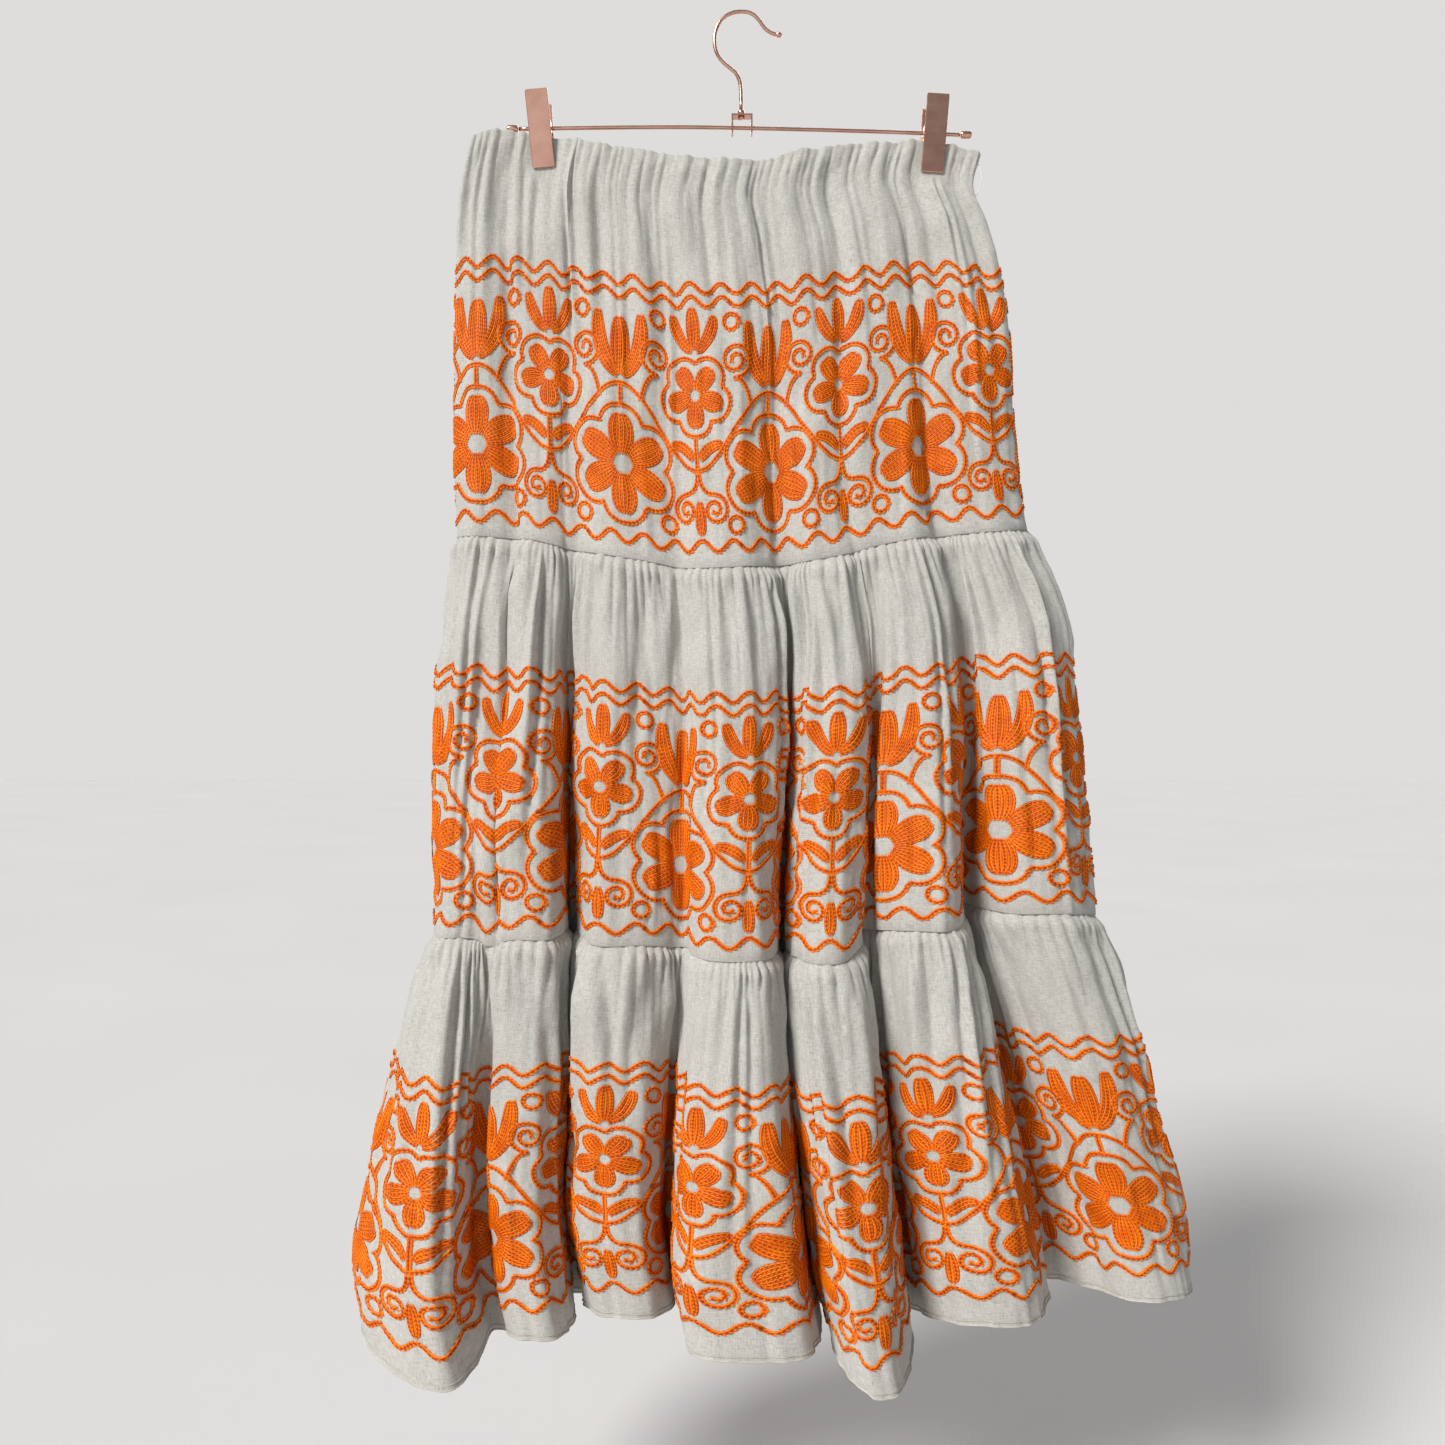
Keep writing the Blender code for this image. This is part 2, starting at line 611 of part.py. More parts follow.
def clip_pivot(clip):
    """Where the bar crosses the middle of a clip."""
    rise = bar_height(clip.foot_x) - clip.foot_z
    x = clip.foot_x + rise * math.tan(math.radians(clip.lean))
    return x, bar_height(x)


def add_clip(clip, group, cutters):
    """Two plates that nip the waist, each with two ears that the bar runs through."""
    turn = Matrix.Rotation(math.radians(clip.lean), 4, "Y")
    place = Matrix.Translation((clip.foot_x * MM, 0.0, clip.foot_z * MM)) @ turn
    bar_x, bar_z = clip_pivot(clip)
    pivot = bar_z - clip.foot_z
    plate_y = JAW_Y + CLIP_FLARE * (pivot - 0.5 * EAR_HEIGHT) / CLIP_HEIGHT + 0.5 * PLATE
    for part, facing in (("front", -1.0), ("back", 1.0)):
        name = clip.name + "_" + part
        mesh = plate_mesh(name, facing)
        mesh.transform(place)
        item = add_object(name, mesh, group)
        give_material(item, ROSE_GOLD, 0.25, 1.0)
        rounding = item.modifiers.new("rounding", "BEVEL")
        rounding.width = PLATE_ROUNDING * MM
        rounding.segments = 1
        rounding.limit_method = "ANGLE"
        inset = PLATE_ROUNDING if part == "front" else PLATE_ROUNDING + PLATE + PIECE_GAP
        ends = sorted((facing * plate_y, -facing * EAR_REACH))
        for side, toward in (("left", -1.0), ("right", 1.0)):
            reach = sorted((toward * (0.5 * CLIP_WIDTH - inset),
                            toward * (0.5 * CLIP_WIDTH - inset - PLATE)))
            ear = box_mesh(name + "_ear_" + side,
                           (reach[0], ends[0], pivot - 0.5 * EAR_HEIGHT),
                           (reach[1], ends[1], pivot + 0.5 * EAR_HEIGHT))
            ear.transform(place)
            combine(item, ear, cutters, "UNION")
        combine(item, rod_mesh(name + "_bar_hole", BAR_HOLE_RADIUS, 2.0 * CLIP_WIDTH,
                               (bar_x, 0.0, bar_z), "X"), cutters)
    add_spring(clip, group)


def add_spring(clip, group):
    """Coil round the bar with a leg up to each plate's handle."""
    middle, z = clip_pivot(clip)
    reach = 0.5 * SPRING_TURNS * SPRING_PITCH
    rise = z + SPRING_LEG - clip.foot_z
    leg_y = JAW_Y + CLIP_FLARE * rise / CLIP_HEIGHT - SPRING_WIRE - PIECE_GAP
    points = [(middle - reach, -leg_y, z + SPRING_LEG)]
    for step in range(int(SPRING_TURNS * SPRING_STEPS) + 1):
        angle = 2.0 * math.pi * step / SPRING_STEPS
        x = middle - reach + SPRING_PITCH * step / SPRING_STEPS
        points.append((x, -SPRING_RADIUS * math.cos(angle), z - SPRING_RADIUS * math.sin(angle)))
    points.append((middle + reach, leg_y, z + SPRING_LEG))
    add_wire(clip.name + "_spring", points, [1.0] * len(points), SPRING_WIRE, group, 1)


def main():
    clear_scene()
    group = new_collection("tiered_maxi_skirt")
    cutters = new_collection("cutters")
    add_skirt(group)
    add_bar(group)
    add_hook(group)
    add_bracket(group, cutters)
    for clip in CLIPS:
        add_clip(clip, group, cutters)


main()
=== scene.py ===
"""Visual model of a tiered maxi skirt on a clip hanger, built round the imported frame.

Millimetres are used in the tables and functions and become metres when a mesh is made.
The front faces -Y, and the hanger lies in the plane Y = 0.
"""

import math
from collections import namedtuple

import bmesh
import bpy
import numpy as np
from mathutils import Matrix


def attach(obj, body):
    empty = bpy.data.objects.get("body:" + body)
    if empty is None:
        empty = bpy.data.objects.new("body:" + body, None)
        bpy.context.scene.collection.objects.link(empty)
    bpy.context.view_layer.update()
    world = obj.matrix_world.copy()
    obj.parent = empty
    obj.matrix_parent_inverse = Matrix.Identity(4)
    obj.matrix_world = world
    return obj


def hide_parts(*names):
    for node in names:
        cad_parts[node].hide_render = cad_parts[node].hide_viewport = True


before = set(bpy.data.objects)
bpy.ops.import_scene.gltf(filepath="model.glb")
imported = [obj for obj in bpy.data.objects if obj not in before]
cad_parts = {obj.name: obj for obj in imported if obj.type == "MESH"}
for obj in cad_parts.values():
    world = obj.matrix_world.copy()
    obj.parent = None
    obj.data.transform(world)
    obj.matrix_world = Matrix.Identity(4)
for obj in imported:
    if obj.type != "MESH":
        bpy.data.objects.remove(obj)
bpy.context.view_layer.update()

MM = 0.001
TAU = 2.0 * math.pi

# Level numbers of the rings, counted down the skirt: waist, two tier seams, hem
WAIST = 0
SEAM_1 = 1
SEAM_2 = 2
HEM = 3

# Front folds at each level, as in the solids but for the first valley at the second seam,
# which is flattened as in the photo
Start = namedtuple("Start", "x z")
Fold = namedtuple("Fold", "name end_x end_y end_z crest_y crest_z lap_left lap_right slope",
                  defaults=(0.0, 0.0, 0.34))
FRONT_START = {
    WAIST: Start(-215.0, -97.5),
    SEAM_1: Start(-225.0, -413.5),
    SEAM_2: Start(-240.0, -724.0),
    HEM: Start(-290.0, -1000.0),
}
FRONT_FOLDS = {
    WAIST: (
        Fold("a", -180.0, -3.2, -97.5, -3.6, -95.5),
        Fold("b", -134.0, -4.8, -103.0, -3.1, -99.5),
        Fold("c", -66.0, -9.6, -116.5, -10.2, -109.5),
        Fold("d", 18.0, -11.0, -117.0, -13.2, -120.5),
        Fold("e", 76.0, -9.0, -107.5, -12.0, -111.5),
        Fold("f", 128.0, -3.4, -101.5, -6.2, -103.0),
        Fold("g", 187.0, 0.0, -108.5, -3.1, -102.5),
    ),
    SEAM_1: (
        Fold("a", -178.0, -29.0, -420.0, -31.0, -419.0),
        Fold("b", -132.0, -33.0, -428.0, -40.0, -425.0),
        Fold("c", -52.0, -43.0, -440.0, -47.0, -436.0),
        Fold("d", 30.0, -38.0, -442.5, -55.0, -444.0),
        Fold("e", 88.0, -43.0, -431.0, -48.0, -438.5),
        Fold("f", 152.0, -27.0, -415.0, -42.0, -424.0),
        Fold("g", 222.0, 0.0, -407.0, -31.0, -412.5),
    ),
    SEAM_2: (
        Fold("a", -188.0, -65.0, -724.5, -64.0, -719.0, 0.0, 0.0, 0.30),
        Fold("b", -134.0, -10.0, -712.0, -72.0, -719.0, 0.0, 6.0, 0.28),
        Fold("c", -49.0, -56.0, -727.0, -70.0, -723.5, 4.0, 0.0, 0.30),
        Fold("d", 27.0, -10.0, -728.0, -90.0, -731.0, 0.0, 7.0, 0.26),
        Fold("e", 92.0, -38.0, -716.5, -84.0, -734.0, 5.0, 3.0, 0.34),
        Fold("f", 171.0, -8.0, -701.0, -74.0, -712.0, 0.0, 6.0, 0.30),
        Fold("g", 273.0, 0.0, -712.0, -58.0, -702.0, 3.0, 0.0, 0.30),
    ),
    HEM: (
        Fold("a", -182.0, -62.0, -1010.0, -114.0, -1024.0, -26.0, 10.0, 0.36),
        Fold("b", -130.0, -14.0, -1004.0, -94.0, -1001.0, -4.0, 10.0, 0.28),
        Fold("c", -47.0, -24.0, -1000.0, -84.0, -990.0, 2.0, 6.0, 0.30),
        Fold("d", 62.0, -16.0, -1008.0, -114.0, -1004.0, 8.0, 2.0, 0.16),
        Fold("e", 122.0, -28.0, -1010.0, -130.0, -1024.0, 9.0, 10.0, 0.38),
        Fold("f", 236.0, -12.0, -994.0, -94.0, -991.0, 0.0, 6.0, 0.30),
        Fold("g", 346.0, 0.0, -994.0, -66.0, -986.0, -16.0, 6.0, 0.34),
    ),
}

# Height of the waist's top edge and of the first seam across the front
Edge = namedtuple("Edge", "x z")
EDGE_LINES = {
    WAIST: (
        Edge(-215.0, -98.5), Edge(-193.0, -94.6), Edge(-147.0, -100.3), Edge(-123.0, -104.5),
        Edge(-99.0, -109.0), Edge(-76.0, -114.5), Edge(-53.0, -118.5), Edge(-21.0, -121.7),
        Edge(5.0, -120.4), Edge(28.0, -117.5), Edge(51.0, -112.8), Edge(80.0, -107.6),
        Edge(110.0, -102.9), Edge(139.0, -101.7), Edge(161.0, -105.2), Edge(187.0, -111.0),
    ),
    SEAM_1: (
        Edge(-225.0, -415.5), Edge(-166.5, -419.9), Edge(-127.0, -428.7), Edge(-98.7, -434.1),
        Edge(-74.2, -437.8), Edge(-48.0, -442.6), Edge(-22.2, -443.8), Edge(12.2, -441.6),
        Edge(41.4, -438.6), Edge(76.9, -432.4), Edge(99.6, -425.8), Edge(133.9, -419.1),
        Edge(162.7, -415.2), Edge(203.6, -412.0), Edge(222.0, -408.5),
    ),
}

# Back folds: share of the width each takes, and of the level's depth
BackFold = namedtuple("BackFold", "name width depth")
BACK_FOLDS = (
    BackFold("a", 1.15, 0.80),
    BackFold("b", 0.85, 0.95),
    BackFold("c", 1.05, 1.00),
    BackFold("d", 0.90, 0.82),
    BackFold("e", 1.10, 1.00),
    BackFold("f", 0.80, 0.90),
    BackFold("g", 1.00, 1.00),
    BackFold("h", 1.12, 0.86),
    BackFold("i", 0.86, 1.00),
    BackFold("j", 1.17, 0.84),
)
BackLevel = namedtuple("BackLevel", "side_y middle_y depth lap middle_z")
BACK_LEVELS = {
    WAIST: BackLevel(3.1, 11.5, 0.2, 0.0, -119.0),
    SEAM_1: BackLevel(12.0, 20.0, 15.0, 0.0, -438.0),
    SEAM_2: BackLevel(10.0, 16.0, 36.0, 1.0, -722.0),
    HEM: BackLevel(10.0, 18.0, 44.0, 3.0, -1006.0),
}
BACK_MIDDLE_X = -6.0
BACK_HALF_WIDTH = 142.0

# Side outlines seen from the front, at heights between the levels
Outline = namedtuple("Outline", "level left right")
OUTLINE = (
    Outline(0.00, -215.0, 187.0),
    Outline(0.09, -221.0, 181.0),
    Outline(0.20, -225.0, 193.0),
    Outline(0.42, -227.0, 207.0),
    Outline(0.70, -228.0, 212.0),
    Outline(1.00, -225.0, 222.0),
    Outline(1.22, -233.0, 247.0),
    Outline(1.45, -236.0, 259.0),
    Outline(1.72, -239.0, 265.0),
    Outline(2.00, -240.0, 273.0),
    Outline(2.10, -247.5, 280.5),
    Outline(2.30, -263.0, 296.0),
    Outline(2.55, -281.0, 316.0),
    Outline(2.80, -294.0, 336.0),
    Outline(3.00, -290.0, 346.0),
)
VALLEY_HALF = 4.5
EDGE_SHARE = 0.45
BACK_SLOPE = 0.34
SIDE_SHARE = 0.04
CASING_END = 0.09
DEPTH_POWER = (1.2, 0.95, 0.85)

# Clips: the middle of the jaws' lower edge, and the lean from upright in degrees
Clip = namedtuple("Clip", "name foot_x foot_z lean")
CLIPS = (
    Clip("clip_left", -157.5, -123.4, -5.0),
    Clip("clip_right", 147.8, -127.2, 3.6),
)

# Panels: columns and rows of the sheet, gathers sewn into its top edge, how far they stand
# out at the seam and at their fullest, how far down the longest of them run, and the repeats
# of the stitched band across the panel with where the band starts and how tall it is
Panel = namedtuple("Panel", "name level front columns rows gathers sewn full reach tall repeats "
                            "band_top band_tall")
PANELS = (
    Panel("tier1_front", WAIST, True, 400, 62, 54, 1.7, 3.1, 0.60, 330.0, 4, 100.0, 222.0),
    Panel("tier1_back", WAIST, False, 340, 44, 50, 1.7, 3.1, 0.60, 330.0, 4, 100.0, 222.0),
    Panel("tier2_front", SEAM_1, True, 620, 56, 92, 2.4, 5.8, 0.50, 300.0, 6, 96.0, 198.0),
    Panel("tier2_back", SEAM_1, False, 480, 44, 86, 2.4, 5.8, 0.50, 300.0, 6, 96.0, 198.0),
    Panel("tier3_front", SEAM_2, True, 860, 56, 146, 2.4, 5.4, 0.48, 285.0, 9, 88.0, 180.0),
    Panel("tier3_back", SEAM_2, False, 640, 44, 116, 2.4, 5.4, 0.48, 285.0, 7, 88.0, 180.0),
)

# Soft creases: where each is across and down its panel, its half width in millimetres, how
# far it stands out or sinks in, and how far it drifts across on its way down
Crease = namedtuple("Crease", "across top foot half depth drift")
CREASES = {
    "tier1_front": (
        Crease(0.11, 0.02, 0.55, 7.0, -1.6, 0.010),
        Crease(0.19, 0.05, 0.80, 11.0, 1.8, 0.015),
        Crease(0.285, 0.00, 0.42, 5.0, -2.3, 0.004),
        Crease(0.36, 0.04, 0.70, 9.0, 1.5, -0.006),
        Crease(0.475, 0.00, 0.48, 5.0, -2.4, 0.002),
        Crease(0.53, 0.08, 0.95, 14.0, 1.8, 0.012),
        Crease(0.695, 0.03, 1.05, 8.0, -3.2, -0.012),
        Crease(0.735, 0.05, 0.90, 10.0, 1.8, -0.006),
        Crease(0.82, 0.00, 0.60, 6.0, -1.8, 0.016),
        Crease(0.90, 0.03, 0.85, 8.0, 2.0, 0.028),
        Crease(0.945, 0.02, 0.60, 5.0, -1.8, 0.020),
    ),
    "tier1_back": (
        Crease(0.08, 0.02, 0.60, 7.0, -1.8, 0.010),
        Crease(0.20, 0.04, 0.85, 12.0, 2.2, 0.014),
        Crease(0.31, 0.00, 0.50, 5.0, -2.0, -0.004),
        Crease(0.44, 0.03, 0.75, 10.0, 1.8, -0.010),
        Crease(0.52, 0.00, 0.95, 7.0, -2.6, 0.004),
        Crease(0.63, 0.05, 0.70, 9.0, 2.0, 0.008),
        Crease(0.74, 0.00, 0.45, 5.0, -2.0, 0.010),
        Crease(0.86, 0.03, 0.90, 11.0, 2.0, -0.012),
    ),
    "tier2_front": (
        Crease(0.055, 0.00, 0.75, 7.0, -2.2, 0.006),
        Crease(0.11, 0.05, 0.95, 12.0, 2.0, 0.010),
        Crease(0.17, 0.02, 0.60, 6.0, -2.4, -0.004),
        Crease(0.245, 0.05, 1.05, 10.0, 2.2, 0.006),
        Crease(0.33, 0.00, 0.70, 6.0, -2.6, -0.010),
        Crease(0.40, 0.04, 0.85, 12.0, 2.4, 0.012),
        Crease(0.47, 0.00, 1.05, 7.0, -2.2, 0.006),
        Crease(0.56, 0.03, 0.80, 9.0, 2.2, -0.008),
        Crease(0.61, 0.00, 0.55, 6.0, -2.4, 0.004),
        Crease(0.70, 0.05, 1.00, 11.0, 2.0, 0.010),
        Crease(0.77, 0.00, 0.65, 7.0, -2.6, 0.012),
        Crease(0.86, 0.04, 0.90, 13.0, 2.4, 0.014),
        Crease(0.93, 0.00, 0.80, 8.0, -2.4, 0.018),
    ),
    "tier2_back": (
        Crease(0.07, 0.00, 0.80, 8.0, -2.2, -0.012),
        Crease(0.16, 0.04, 0.95, 12.0, 2.2, -0.008),
        Crease(0.27, 0.00, 0.60, 6.0, -2.6, 0.004),
        Crease(0.38, 0.05, 1.00, 11.0, 2.0, 0.008),
        Crease(0.46, 0.00, 0.75, 7.0, -2.4, -0.006),
        Crease(0.57, 0.03, 0.90, 12.0, 2.4, 0.010),
        Crease(0.68, 0.00, 0.55, 6.0, -2.4, 0.006),
        Crease(0.79, 0.04, 1.00, 12.0, 2.2, -0.008),
        Crease(0.91, 0.00, 0.80, 8.0, -2.2, 0.012),
    ),
    "tier3_front": (
        Crease(0.04, 0.00, 0.85, 10.0, -3.0, 0.010),
        Crease(0.085, 0.06, 1.05, 13.0, 2.6, 0.012),
        Crease(0.135, 0.02, 0.75, 8.0, -2.8, -0.006),
        Crease(0.20, 0.04, 1.00, 12.0, 2.4, 0.008),
        Crease(0.27, 0.00, 0.80, 9.0, -2.8, 0.006),
        Crease(0.33, 0.06, 1.05, 12.0, 2.4, -0.008),
        Crease(0.39, 0.00, 0.70, 8.0, -2.6, 0.006),
        Crease(0.455, 0.05, 1.00, 13.0, 2.6, 0.010),
        Crease(0.51, 0.00, 0.85, 9.0, -2.8, -0.004),
        Crease(0.575, 0.05, 1.05, 12.0, 2.4, 0.008),
        Crease(0.63, 0.00, 0.75, 8.0, -2.8, 0.006),
        Crease(0.70, 0.04, 1.00, 13.0, 2.6, -0.006),
        Crease(0.765, 0.00, 0.80, 9.0, -2.8, 0.010),
        Crease(0.84, 0.05, 1.05, 14.0, 2.6, 0.012),
        Crease(0.90, 0.00, 0.75, 9.0, -2.8, 0.014),
        Crease(0.96, 0.04, 0.95, 10.0, 2.2, 0.010),
    ),
    "tier3_back": (
        Crease(0.06, 0.00, 0.85, 10.0, -2.8, -0.010),
        Crease(0.14, 0.05, 1.00, 13.0, 2.6, -0.006),
        Crease(0.23, 0.00, 0.75, 9.0, -2.8, 0.006),
        Crease(0.33, 0.05, 1.05, 12.0, 2.4, 0.008),
        Crease(0.42, 0.00, 0.80, 9.0, -2.6, -0.006),
        Crease(0.52, 0.04, 1.00, 13.0, 2.6, 0.008),
        Crease(0.61, 0.00, 0.70, 8.0, -2.8, 0.006),
        Crease(0.71, 0.05, 1.05, 12.0, 2.4, -0.008),
        Crease(0.82, 0.00, 0.85, 10.0, -2.8, 0.008),
        Crease(0.92, 0.05, 0.95, 11.0, 2.4, 0.012),
    ),
}


# Paths and vectors


def unit(vectors):
    return vectors / np.maximum(np.linalg.norm(vectors, axis=-1, keepdims=True), 1e-9)


def path_lengths(points):
    """Length along a path up to each of its points."""
    spans = np.linalg.norm(np.diff(points, axis=0), axis=1)
    return np.concatenate([[0.0], np.cumsum(spans)])


def at_lengths(points, lengths, wanted):
    """Places on a path at the wanted lengths."""
    return np.stack([np.interp(wanted, lengths, column) for column in points.T], 1)


# Rings of the skirt


def fold_edge(slope, lap, at_side):
    if at_side:
        return SIDE_SHARE, 0.0
    return EDGE_SHARE * slope, lap


def front_knots(level):
    """Points of the front's path at a level, from the left side to the right side."""
    x0 = FRONT_START[level].x
    y0 = 0.0
    z0 = FRONT_START[level].z
    knots = [(x0, y0, z0)]
    folds = FRONT_FOLDS[level]
    for index, fold in enumerate(folds):
        width = fold.end_x - x0
        shift = 0.5 * (fold.lap_right - fold.lap_left)
        share_l, lap_l = fold_edge(fold.slope, fold.lap_left, index == 0)
        share_r, lap_r = fold_edge(fold.slope, fold.lap_right, index == len(folds) - 1)
        knots.append((x0 + share_l * width - lap_l, 0.5 * (y0 + fold.crest_y),
                      0.5 * (z0 + fold.crest_z)))
        knots.append((x0 + fold.slope * width + shift, fold.crest_y, fold.crest_z))
        knots.append((fold.end_x - fold.slope * width + shift, fold.crest_y, fold.crest_z))
        knots.append((fold.end_x - share_r * width + lap_r, 0.5 * (fold.end_y + fold.crest_y),
                      0.5 * (fold.end_z + fold.crest_z)))
        if index == len(folds) - 1:
            knots.append((fold.end_x, fold.end_y, fold.end_z))
        else:
            knots.append((fold.end_x - VALLEY_HALF, fold.end_y, fold.end_z))
            knots.append((fold.end_x + VALLEY_HALF, fold.end_y, fold.end_z))
        x0 = fold.end_x
        y0 = fold.end_y
        z0 = fold.end_z
    return np.array(knots)


def back_knots(level):
    """Points of the back's path at a level, from the right side to the left side."""
    row = BACK_LEVELS[level]
    left = FRONT_START[level]
    right = FRONT_FOLDS[level][-1]
    total = sum(fold.width for fold in BACK_FOLDS)

    def valley(x):
        bow = max(0.0, 1.0 - ((x - BACK_MIDDLE_X) / BACK_HALF_WIDTH) ** 2)
        return row.side_y + (row.middle_y - row.side_y) * bow

    def height(x):
        share = (x - left.x) / (right.end_x - left.x)
        straight = left.z + (right.end_z - left.z) * share
        dip = row.middle_z - 0.5 * (left.z + right.end_z)
        return straight + dip * math.sin(math.pi * share)

    x0 = left.x
    y0 = 0.0
    knots = [(x0, y0, left.z)]
    for index, fold in enumerate(BACK_FOLDS):
        width = (right.end_x - left.x) * fold.width / total
        x1 = x0 + width
        last = index == len(BACK_FOLDS) - 1
        y1 = 0.0 if last else valley(x1)
        crest = valley(x0 + 0.5 * width) + row.depth * fold.depth
        share_l, lap_l = fold_edge(BACK_SLOPE, row.lap, index == 0)
        share_r, lap_r = fold_edge(BACK_SLOPE, row.lap, last)
        for x, y in ((x0 + share_l * width - lap_l, 0.5 * (y0 + crest)),
                     (x0 + BACK_SLOPE * width, crest),
                     (x1 - BACK_SLOPE * width, crest),
                     (x1 - share_r * width + lap_r, 0.5 * (y1 + crest))):
            knots.append((x, y, height(x)))
        for x in (x1,) if last else (x1 - VALLEY_HALF, x1 + VALLEY_HALF):
            knots.append((x, y1, height(x)))
        x0 = x1
        y0 = y1
    return np.array(knots)[::-1]


def smooth_between(value, places, wanted):
    """Smooth curve through a table's values, with no overshoot at its turns."""
    places = np.asarray(places)
    wanted = np.asarray(wanted)
    rise = np.diff(wanted) / np.diff(places)
    slope = np.zeros(len(places))
    slope[1:-1] = 0.5 * (rise[1:] + rise[:-1])
    slope[0] = rise[0]
    slope[-1] = rise[-1]
    i = int(np.clip(np.searchsorted(places, value) - 1, 0, len(places) - 2))
    step = places[i + 1] - places[i]
    t = (value - places[i]) / step
    return ((2 * t ** 3 - 3 * t ** 2 + 1) * wanted[i] + (t ** 3 - 2 * t ** 2 + t) * step * slope[i]
            + (-2 * t ** 3 + 3 * t ** 2) * wanted[i + 1] + (t ** 3 - t ** 2) * step * slope[i + 1])


def level_knots(level):
    """Front and back points of a level, with the front's edge line evened out."""
    front = front_knots(level)
    if level in EDGE_LINES:
        xs = [edge.x for edge in EDGE_LINES[level]]
        zs = [edge.z for edge in EDGE_LINES[level]]
        front[:, 2] = [smooth_between(x, xs, zs) for x in front[:, 0]]
    return front, back_knots(level)


KNOTS = {level: level_knots(level) for level in (WAIST, SEAM_1, SEAM_2, HEM)}


def outlined(knots, left, right, level):
    levels = [row.level for row in OUTLINE]
    want_left = smooth_between(level, levels, [row.left for row in OUTLINE])
    want_right = smooth_between(level, levels, [row.right for row in OUTLINE])
    share = np.clip((knots[:, 0] - left) / (right - left), 0.0, 1.0)
    moved = knots.copy()
    moved[:, 0] += (want_left - left) * (1.0 - share) + (want_right - right) * share
    return moved


def ring_knots(level):
    base = min(int(level), SEAM_2)
    share = level - base
    grown = max(0.0, (share - CASING_END) / (1.0 - CASING_END)) if base == WAIST else share
    depth = grown ** DEPTH_POWER[base]
    sides = []
    for side in (0, 1):
        upper = KNOTS[base][side]
        lower = KNOTS[base + 1][side]
        knots = upper + (lower - upper) * share
        knots[:, 1] = upper[:, 1] + (lower[:, 1] - upper[:, 1]) * depth
        sides.append(knots)
    left = sides[0][0, 0]
    right = sides[0][-1, 0]
    sides = [outlined(knots, left, right, level) for knots in sides]
    return np.vstack([sides[0], sides[1][1:-1]]), len(sides[0])


def smooth_ring(knots, steps):
    """Smooth closed curve through the knots."""
    p0, p1, p2, p3 = (np.roll(knots, k, axis=0)[:, None, :] for k in (1, 0, -1, -2))

    def span(a, b):
        return np.maximum(np.linalg.norm(b - a, axis=2, keepdims=True), 1e-6) ** 0.5

    t1 = span(p0, p1)
    t2 = t1 + span(p1, p2)
    t3 = t2 + span(p2, p3)
    t = t1 + (t2 - t1) * (np.arange(steps) / steps)[None, :, None]
    a1 = (t1 - t) / t1 * p0 + t / t1 * p1
    a2 = (t2 - t) / (t2 - t1) * p1 + (t - t1) / (t2 - t1) * p2
    a3 = (t3 - t) / (t3 - t2) * p2 + (t - t2) / (t3 - t2) * p3
    b1 = (t2 - t) / t2 * a1 + t / t2 * a2
    b2 = (t3 - t) / (t3 - t1) * a2 + (t - t1) / (t3 - t1) * a3
    return ((t2 - t) / (t2 - t1) * b1 + (t - t1) / (t2 - t1) * b2).reshape(-1, 3)


PATH_STEPS = 16


def panel_path(level, front):
    """Dense path of one panel at a height, its lengths, and the lengths at its knots."""
    knots, front_count = ring_knots(level)
    ring = smooth_ring(knots, PATH_STEPS)
    ring = np.vstack([ring, ring[:1]])
    split = (front_count - 1) * PATH_STEPS
    path = ring[: split + 1] if front else ring[split:]
    lengths = path_lengths(path[:, :2])
    return path, lengths, lengths[::PATH_STEPS]


def cloth_shares(level, front):
    """Share of the cloth's width at each knot, held down the whole tier."""
    shares = []
    for at in (level, level + 1):
        at_knots = panel_path(at, front)[2]
        shares.append(at_knots / at_knots[-1])
    return 0.5 * (shares[0] + shares[1])


# Cloth sheets

GATHER_RISE = 0.035
BROAD_SHARE = 0.24
BROAD_RISE = 2.1
# Shapes of the gathers' ridges and of the broad folds that they merge into
RIDGE_POWER = 0.5
SWELL_POWER = 1.6
FADE_POWER = 1.4
BROAD_FADE_POWER = 0.8
BROAD_START = 0.16
# Least of each uneven measure, and how much chance adds
Uneven = namedtuple("Uneven", "least added")
RIDGE_HIGH = Uneven(0.40, 0.60)
RIDGE_LONG = Uneven(0.12, 0.88)
SWELL_HIGH = Uneven(0.15, 0.85)
SWELL_LONG = Uneven(0.45, 0.70)
# Low wrinkles: waves in each 100 mm across and down the cloth, and their height
Rumple = namedtuple("Rumple", "across down size")
RUMPLES = (
    Rumple(0.9, 0.35, 1.10),
    Rumple(1.7, -0.5, 0.80),
    Rumple(2.9, 0.8, 0.52),
    Rumple(4.6, -1.1, 0.32),
    Rumple(7.3, 1.9, 0.15),
    Rumple(5.1, 3.7, 0.13),
)
RUMPLE_UNIT = 100.0
# Where a clip holds the cloth flat: half its width, how soon the cloth is free beside it and
# below it, as a share of the tier
HOLD_HALF = 9.5
HOLD_EASE = 8.0
HOLD_FOOT = 0.075
HOLD_FADE = 0.05
# Rows of a sheet stand closer together near its top
ROW_EVEN = 0.42
ROW_CLOSER = 0.58
SIDE_EASE = 14.0
# In a tight inward bend the relief keeps to this share of the bend's radius, and gives a little
BEND_ROOM = 0.55
BEND_GIVE = 0.2
CREASE_SCALE = 1.35
# The elastic crimps the waist's top edge up and down with the gathers
EDGE_CRIMP = 0.65
EDGE_CRIMP_TALL = 7.0
SEAM_TUCK = 2.8
SEAM_TUCK_TALL = 0.013
